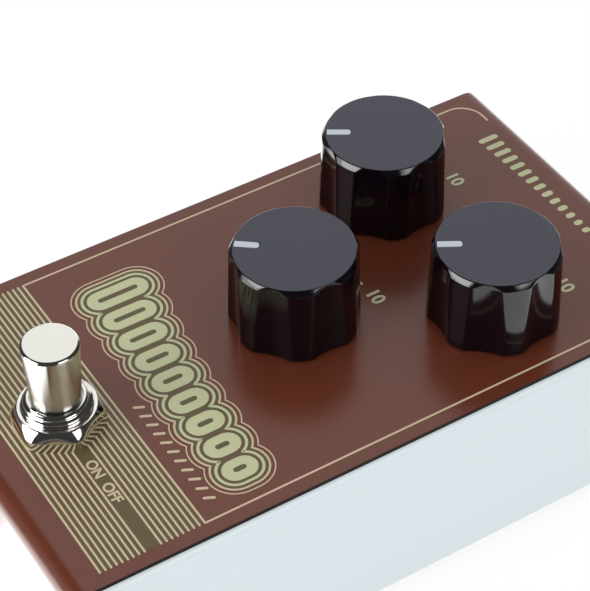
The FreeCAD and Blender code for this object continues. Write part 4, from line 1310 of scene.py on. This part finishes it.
@dataclass
class Footswitch:
    """The footswitch's chrome pieces above the plate, and its spring."""

    button_radius: float = 4.95
    button_neck: float = 4.28
    button_edge: float = 0.62
    button_face: float = 2.5
    guide_radius: float = 4.75
    guide_length: float = 4.6
    stem_radius: float = 1.5
    soft_edge: float = 0.2
    fine_edge: float = 0.1
    neck_edge: float = 0.3
    button_steps: int = 9
    button_columns: int = 128
    stand: float = 5.9
    thread_radius: float = 6.0
    thread_pitch: float = 0.75
    thread_depth: float = 0.34
    bore: float = 4.8
    mouth: float = 4.6
    lip: float = 0.8
    ring: float = 4.95
    drop: float = 0.9
    stop_gap: float = 0.1
    nut_flats: float = 14.9
    nut_corner: float = 8.17
    nut_side: float = 2.1
    nut_bore: float = 6.0
    nut_height: float = 3.9
    nut_face: float = 6.75
    nut_face_edge: float = 6.2
    nut_bulge: float = 0.22
    nut_power: int = 24
    nut_side_edge: float = 0.25
    nut_ring_edge: float = 0.22
    nut_bore_drop: float = 0.25
    nut_turn: float = 359.0
    nut_sides: int = 6
    nut_side_columns: int = 40
    nut_crease: float = 40.0
    spring_turns: float = 7.0
    spring_wire: float = 0.35
    spring_crowding: float = 0.6
    spring_rows: int = 260
    spring_columns: int = 12
    spring_crease: float = 60.0
    travel: float = 3.5

    def axis(self) -> Vector:
        """Where the switch's axis meets the plate.

        Returns:
            The place, in metres.
        """
        low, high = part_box("switch_button")
        _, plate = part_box("top_cover")
        return Vector(((low.x + high.x) / 2, (low.y + high.y) / 2, plate.z))

    def button(self) -> Piece:
        """The button: stem, guide, tapered skirt and rounded crown.

        Returns:
            The new object.
        """
        low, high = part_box("switch_button")
        plate = self.axis().z
        end = (low.z - plate) / MM
        crown = (high.z - plate) / MM
        guide_top = self.stand - self.lip - self.stop_gap
        guide_floor = guide_top - self.guide_length
        profile = rounded([
            (0.0, end, 0), (self.stem_radius, end, self.soft_edge),
            (self.stem_radius, guide_floor, self.fine_edge),
            (self.guide_radius, guide_floor, self.soft_edge),
            (self.guide_radius, guide_top, self.fine_edge),
            (self.button_neck, guide_top, 0), (self.button_neck, self.stand, self.neck_edge),
            (self.button_radius, crown, self.button_edge), (self.button_face, crown, 0),
            (0.0, crown, 0)], self.button_steps)
        return turned("footswitch_button", profile, self.axis(), self.button_columns)

    def bushing(self) -> Piece:
        """The threaded sleeve that the button slides in.

        Returns:
            The new object.
        """
        low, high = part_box("switch_bushing")
        sleeve = Thread(outer=self.thread_radius, inner=self.bore, length=(high.z - low.z) / MM,
                        pitch=self.thread_pitch, depth=self.thread_depth, mouth=self.mouth,
                        lip=self.lip, ring=self.ring, drop=self.drop)
        axis = self.axis()
        return moved(sleeve.build("footswitch_bushing"),
                     Matrix.Translation((axis.x, axis.y, low.z)))

    def nut(self) -> Piece:
        """The hexagon nut, whose top slopes from its sides up to a narrow bright ring.

        At an angle a from the middle of a flat the side's radius is the smooth lesser of half
        the flats over cos(a) and the turned corner's radius: the -24th root of the sum of both
        to the power of -24. The slope runs from that line, level all round, to the ring's
        circle, and bulges by a sine of its share.

        Returns:
            The new object.
        """
        half = self.nut_flats / 2
        off = np.linspace(-1, 1, self.nut_side_columns + 1)[:-1] * math.pi / self.nut_sides
        off = np.tile(off, self.nut_sides)
        number = np.repeat(np.arange(self.nut_sides), self.nut_side_columns)
        angle = off + math.radians(self.nut_turn + 180 / self.nut_sides) + (
            number * math.pi / (self.nut_sides / 2))
        flat = half / np.cos(off)
        power = -self.nut_power
        side = (flat ** power + self.nut_corner ** power) ** (1 / power)
        side *= half / side.min()
        level = rounded([(0.0, 0.0, 0), (0.0, self.nut_side, self.nut_side_edge),
                         (1.0, self.nut_height, self.nut_ring_edge), (2.0, self.nut_height, 0)])
        share = np.clip(level[:, :1], 0.0, 1.0)
        bulge = self.nut_bulge * np.sin(math.pi * share)
        radius = side + (self.nut_face - side) * share + bulge
        radius = np.where(level[:, :1] > 1, self.nut_face - (level[:, :1] - 1) * (
            self.nut_face - self.nut_face_edge), radius)
        inside = np.full_like(side, self.nut_bore)
        radius = np.concatenate([inside[None], radius, inside[None]])
        mouth = self.nut_height - self.nut_bore_drop
        height = np.concatenate([[0.0], level[:, 1], [mouth]])[:, None]
        piece = shell("footswitch_nut", round_grid(radius, height, angle[None, :]),
                      closed_rows=True, crease=self.nut_crease)
        return moved(piece, Matrix.Translation(self.axis()))

    def spring(self) -> Piece:
        """The return spring: a wire round a helix, its end turns flattened together.

        The helix's angle grows evenly, and its height follows the angle's share s as
        s - sin(2 pi s) / (2 pi) * crowding, so the turns lie closer at both ends.

        Returns:
            The new object.
        """
        low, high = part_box("switch_spring")
        centre = (low + high) / 2
        radius = (high.x - low.x) / MM / 2 - self.spring_wire
        length = (high.z - low.z) / MM - 2 * self.spring_wire
        share = np.linspace(0, 1, self.spring_rows)
        rise = share - np.sin(2 * math.pi * share) / (2 * math.pi) * self.spring_crowding
        angle = share * self.spring_turns * 2 * math.pi
        middle = np.stack([radius * np.cos(angle), radius * np.sin(angle), rise * length], axis=-1)
        outwards = np.stack([np.cos(angle), np.sin(angle), np.zeros_like(angle)], axis=-1)
        upwards = np.broadcast_to([0.0, 0.0, 1.0], outwards.shape)
        turn = ring_angles(self.spring_columns)[None, :, None]
        grid = middle[:, None] + self.spring_wire * (
            np.cos(turn) * outwards[:, None] + np.sin(turn) * upwards[:, None])
        piece = shell("return_spring", grid, crease=self.spring_crease)
        lift = Vector((centre.x, centre.y, low.z + self.spring_wire * MM))
        return moved(piece, Matrix.Translation(lift))

    def build(self) -> None:
        """Build and dress the footswitch."""
        _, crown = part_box("switch_button")
        chrome = replace(BUTTON_CHROME, marks_end=crown.z - self.button_edge * MM)
        dress(self.button(), chrome, "footswitch_button", ["switch_button"])
        dress(self.bushing(), SWITCH_CHROME, "case", ["switch_bushing"])
        dress(self.nut(), SWITCH_CHROME, "case", ["switch_nut"])
        spring = dress(self.spring(), SPRING_STEEL, "case", ["switch_spring"])
        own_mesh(spring)


@dataclass
class Sockets:
    """The two jacks' threaded sleeves at the back."""

    outer: float = 4.5
    bore: float = 3.25
    pitch: float = 0.75
    depth: float = 0.3
    mouth_gap: float = 0.35
    ring_gap: float = 0.8
    lip: float = 0.35
    drop: float = 0.45

    def build(self) -> None:
        """Build and dress both sleeves."""
        for name in ("input", "output"):
            node = f"{name}_jack_bushing"
            low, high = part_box(node)
            sleeve = Thread(outer=self.outer, inner=self.bore, length=(high.y - low.y) / MM,
                            pitch=self.pitch, depth=self.depth,
                            mouth=self.bore + self.mouth_gap, lip=self.lip,
                            ring=self.bore + self.ring_gap, drop=self.drop)
            piece = sleeve.build(f"{name}_jack_sleeve")
            middle = (low + high) / 2
            lay = Matrix.Translation((middle.x, low.y, middle.z)) @ Matrix.Rotation(
                math.radians(-90), 4, "X")
            dress(moved(piece, lay), NICKEL, "case", [node])


@dataclass
class Lamp:
    """The indicator lamp: a resin dome on a flange, with its two legs."""

    radius: float = 2.5
    flange: float = 2.9
    flange_height: float = 1.0
    flange_edges: tuple[float, float] = (0.1, 0.15)
    dome_rows: int = 14
    columns: int = 64
    leg: float = 0.5
    leg_pitch: float = 2.54

    def build(self) -> None:
        """Build and dress the lamp."""
        low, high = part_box("led")
        spacer_low, spacer_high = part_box("led_spacer")
        floor = (spacer_high.z - spacer_low.z) / MM
        top = (high.z - low.z) / MM
        bend = np.radians(np.linspace(0, 90, self.dome_rows))
        dome = np.column_stack([self.radius * np.cos(bend),
                                top - self.radius + self.radius * np.sin(bend)])
        lower_edge, upper_edge = self.flange_edges
        profile = np.concatenate([
            rounded([(0, floor, 0), (self.flange, floor, lower_edge),
                     (self.flange, floor + self.flange_height, upper_edge),
                     (self.radius, floor + self.flange_height, 0)]), dome])
        centre = Vector(((low.x + high.x) / 2, (low.y + high.y) / 2, low.z))
        body = turned("lamp_dome", profile, centre, self.columns)
        dress(body, LAMP_RESIN, "case", ["led"])
        for side in (-1, 1):
            half = self.leg / 2
            x = self.leg_pitch / 2 * side
            leg = band("lamp_leg", np.array([[x - half, -half], [x + half, -half]]),
                       np.array([[x - half, half], [x + half, half]]), 0, floor)
            dress(moved(leg, Matrix.Translation(centre)), TINNED, "case")


# The studio


def direction(azimuth: float, elevation: float) -> Vector:
    """The level and rising direction at an azimuth and an elevation, both in degrees."""
    turn, lift = math.radians(azimuth), math.radians(elevation)
    return Vector((math.cos(lift) * math.cos(turn), math.cos(lift) * math.sin(turn),
                   math.sin(lift)))


@dataclass
class Studio:
    """Camera, floor, lamps and surroundings.

    A span of the floor has its middle and half its width about the vertical, its strength, and
    how far it goes out. A card has the same first two, its lower and upper edge, and its
    strength. Angles are in degrees and reaches in metres.
    """

    camera_at: tuple[float, float, float] = (228.51, -138.92, 299.51)
    azimuth: float = -31.20
    elevation: float = 43.89
    roll: float = -0.83
    focal_pixels: float = 2142.5
    sensor: float = 36.0
    near_clip: float = 0.01
    floor_rings: tuple[float, ...] = (0.0, 0.3, 1.0, 4.0)
    floor_columns: int = 48
    floor_drop: float = 0.00002
    floor_paper: float = 0.82
    floor_glow: float = 0.8
    floor_white: float = 1.08
    floor_spans: tuple[tuple[float, float, float, float], ...] = (
        (266.0, 51.0, 2.2, 0.16), (262.0, 24.0, 4.5, 3.0), (44.0, 52.0, 1.7, 0.16),
        (128.0, 32.0, 2.0, 3.0))
    floor_gap: float = 0.12
    fade: float = 0.03
    fill: float = 0.72
    gap_light: float = 0.04
    cards: tuple[tuple[float, float, float, float, float], ...] = (
        (150.0, 32.0, 2.0, 64.0, 1.05), (261.0, 22.0, -5.0, 38.0, 4.5),
        (18.0, 16.0, 13.0, 38.0, 3.2))
    soft: float = 4.0

    def camera(self) -> None:
        """Put the camera where the photograph was taken from."""
        back = direction(self.azimuth, self.elevation)
        right = Vector((0, 0, 1)).cross(back).normalized()
        up = back.cross(right)
        roll = math.radians(self.roll)
        right = right * math.cos(roll) + up * math.sin(roll)
        up = back.cross(right)
        lens = bpy.data.cameras.new("camera")
        lens.sensor_fit = "HORIZONTAL"
        lens.sensor_width = self.sensor
        lens.lens = self.focal_pixels * self.sensor / PHOTO_WIDTH
        lens.clip_start = self.near_clip
        camera = linked("camera", lens)
        rotation = Matrix((right, up, back)).transposed().to_4x4()
        camera.matrix_world = Matrix.Translation(Vector(self.camera_at) * MM) @ rotation
        bpy.context.scene.camera = camera

    def floor(self) -> None:
        """A plain pale floor that keeps the pedal's shadow."""
        rings = np.array(self.floor_rings)[:, None] / MM
        angles = ring_angles(self.floor_columns)[None, :]
        piece = shell("floor", round_grid(rings, np.zeros_like(rings), angles), capped=False)
        low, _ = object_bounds()
        moved(piece, Matrix.Translation((0, 0, low.z - self.floor_drop)))
        bench = Bench.new("floor_paper")
        path = bench.add("ShaderNodeLightPath")
        mirrored = path.outputs["Is Glossy Ray"]
        seen = bench.math("MULTIPLY", path.outputs["Is Camera Ray"], self.floor_glow)
        seen = bench.math("MAXIMUM", seen, mirrored)
        seen = bench.math("MAXIMUM", seen, path.outputs["Is Transmission Ray"])
        switch_low, switch_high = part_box("switch_button")
        where = bench.add("ShaderNodeTexCoord").outputs["Object"]
        away = bench.add("ShaderNodeVectorMath", operation="LENGTH", I0=where).outputs["Value"]
        gloss = self.floor_gap
        for turn, half, strength, reach in self.floor_spans:
            bright = self.towards(bench, where, turn, half, (switch_low + switch_high) / 2)
            near = bench.step(away, reach - self.fade, reach + self.fade, 1.0, 0.0)
            bright = bench.math("MULTIPLY", bench.math("MULTIPLY", bright, near), strength)
            gloss = bench.math("MAXIMUM", bright, gloss)
        paper = bench.add("ShaderNodeBsdfDiffuse", Color=grey(self.floor_paper))
        glow = bench.add("ShaderNodeEmission", Color=grey(1.0),
                         Strength=bench.blend(mirrored, self.floor_white, gloss))
        mix = bench.add("ShaderNodeMixShader", Fac=seen, I1=paper.outputs[0],
                        I2=glow.outputs[0])
        piece.data.materials.append(bench.finish(mix.outputs[0]))
        piece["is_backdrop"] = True

    def towards(self, bench: Bench, where: Socket, turn: float, half: float,
                centre: Vector = Vector()) -> Socket:
        """Whether a place or direction lies within a span about the vertical.

        The cosine of its angle from the span's middle is its level direction times the
        middle's, and the change at the span's edge is soft.

        Args:
            bench: The sheet that the nodes go on.
            where: The place or direction.
            turn: The span's middle about the vertical, in degrees.
            half: Half the span, in degrees.
            centre: Where a place's direction is taken from.

        Returns:
            1 inside the span and 0 outside it.
        """
        facing = bench.add("ShaderNodeVectorMath", operation="SUBTRACT", I0=where, I1=centre)
        for operation, other in (("MULTIPLY", (1, 1, 0)), ("NORMALIZE", (0, 0, 0)),
                                 ("DOT_PRODUCT", direction(turn, 0))):
            facing = bench.add("ShaderNodeVectorMath", operation=operation,
                               I0=facing.outputs[0], I1=other)
        return bench.step(facing.outputs["Value"], math.cos(math.radians(half + self.soft)),
                          math.cos(math.radians(half - self.soft)))

    def surroundings(self) -> None:
        """What stands round the pedal: pale for the camera, cards and dark gaps for gloss.

        A card is bright where the direction's turn lies within its half width of its middle and
        the direction's rise between its lower and upper edge.
        """
        world = bpy.data.worlds.new("studio")
        bpy.context.scene.world = world
        bench = Bench.cleared(world)
        where = bench.add("ShaderNodeTexCoord").outputs["Generated"]
        rise = bench.add("ShaderNodeSeparateXYZ", Vector=where).outputs["Z"]
        light = self.gap_light
        for turn, half, low, high, strength in self.cards:
            card = bench.math("MULTIPLY", self.towards(bench, where, turn, half), strength)
            for edge, below in ((low, 0.0), (high, 1.0)):
                inside = bench.step(rise, math.sin(math.radians(edge - self.soft)),
                                    math.sin(math.radians(edge + self.soft)), below, 1 - below)
                card = bench.math("MULTIPLY", card, inside)
            light = bench.math("MAXIMUM", card, light)
        path = bench.add("ShaderNodeLightPath")
        light = bench.blend(path.outputs["Is Glossy Ray"], self.fill, light)
        light = bench.blend(path.outputs["Is Camera Ray"], light, 1.0)
        sky = bench.add("ShaderNodeBackground", Color=grey(1.0), Strength=light)
        bench.add("ShaderNodeOutputWorld", Surface=sky.outputs[0])

    def lamp(self, name: str, azimuth: float, elevation: float, away: float,
             size: tuple[float, float], watts: float) -> None:
        """Put up a soft lamp aimed at the pedal.

        Args:
            name: The lamp's name.
            azimuth: Its direction about the vertical, from the camera's, in degrees.
            elevation: Its height angle, in degrees.
            away: Its distance, in metres.
            size: Its width and height, in metres.
            watts: Its power.
        """
        light = bpy.data.lights.new(name, "AREA")
        light.shape = "RECTANGLE"
        light.size, light.size_y = size
        light.energy = watts
        holder = linked(name, light)
        outwards = direction(self.azimuth + azimuth, elevation)
        holder.location = outwards * away
        holder.rotation_euler = outwards.to_track_quat("Z", "Y").to_euler()

    def build(self) -> None:
        """Set up the whole studio."""
        self.camera()
        self.floor()
        self.surroundings()
        self.lamp("left_lamp", azimuth=-62, elevation=24, away=0.8, size=(0.50, 0.32), watts=2.6)
        self.lamp("right_lamp", azimuth=38, elevation=30, away=0.8, size=(0.24, 0.32), watts=0.6)
        bpy.context.scene.view_settings.view_transform = "Standard"
        LOG.info("studio: camera, floor, surroundings and two lamps")


def main() -> None:
    """Build the studio and dress the pedal."""
    logging.basicConfig(level=logging.INFO, format="%(name)s: %(message)s")
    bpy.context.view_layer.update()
    Studio().build()
    Case().build()
    PlatePrint().build()
    for name in KNOBS:
        Knob(name).build()
    Footswitch().build()
    Sockets().build()
    Lamp().build()


if __name__ == "__main__":
    main()
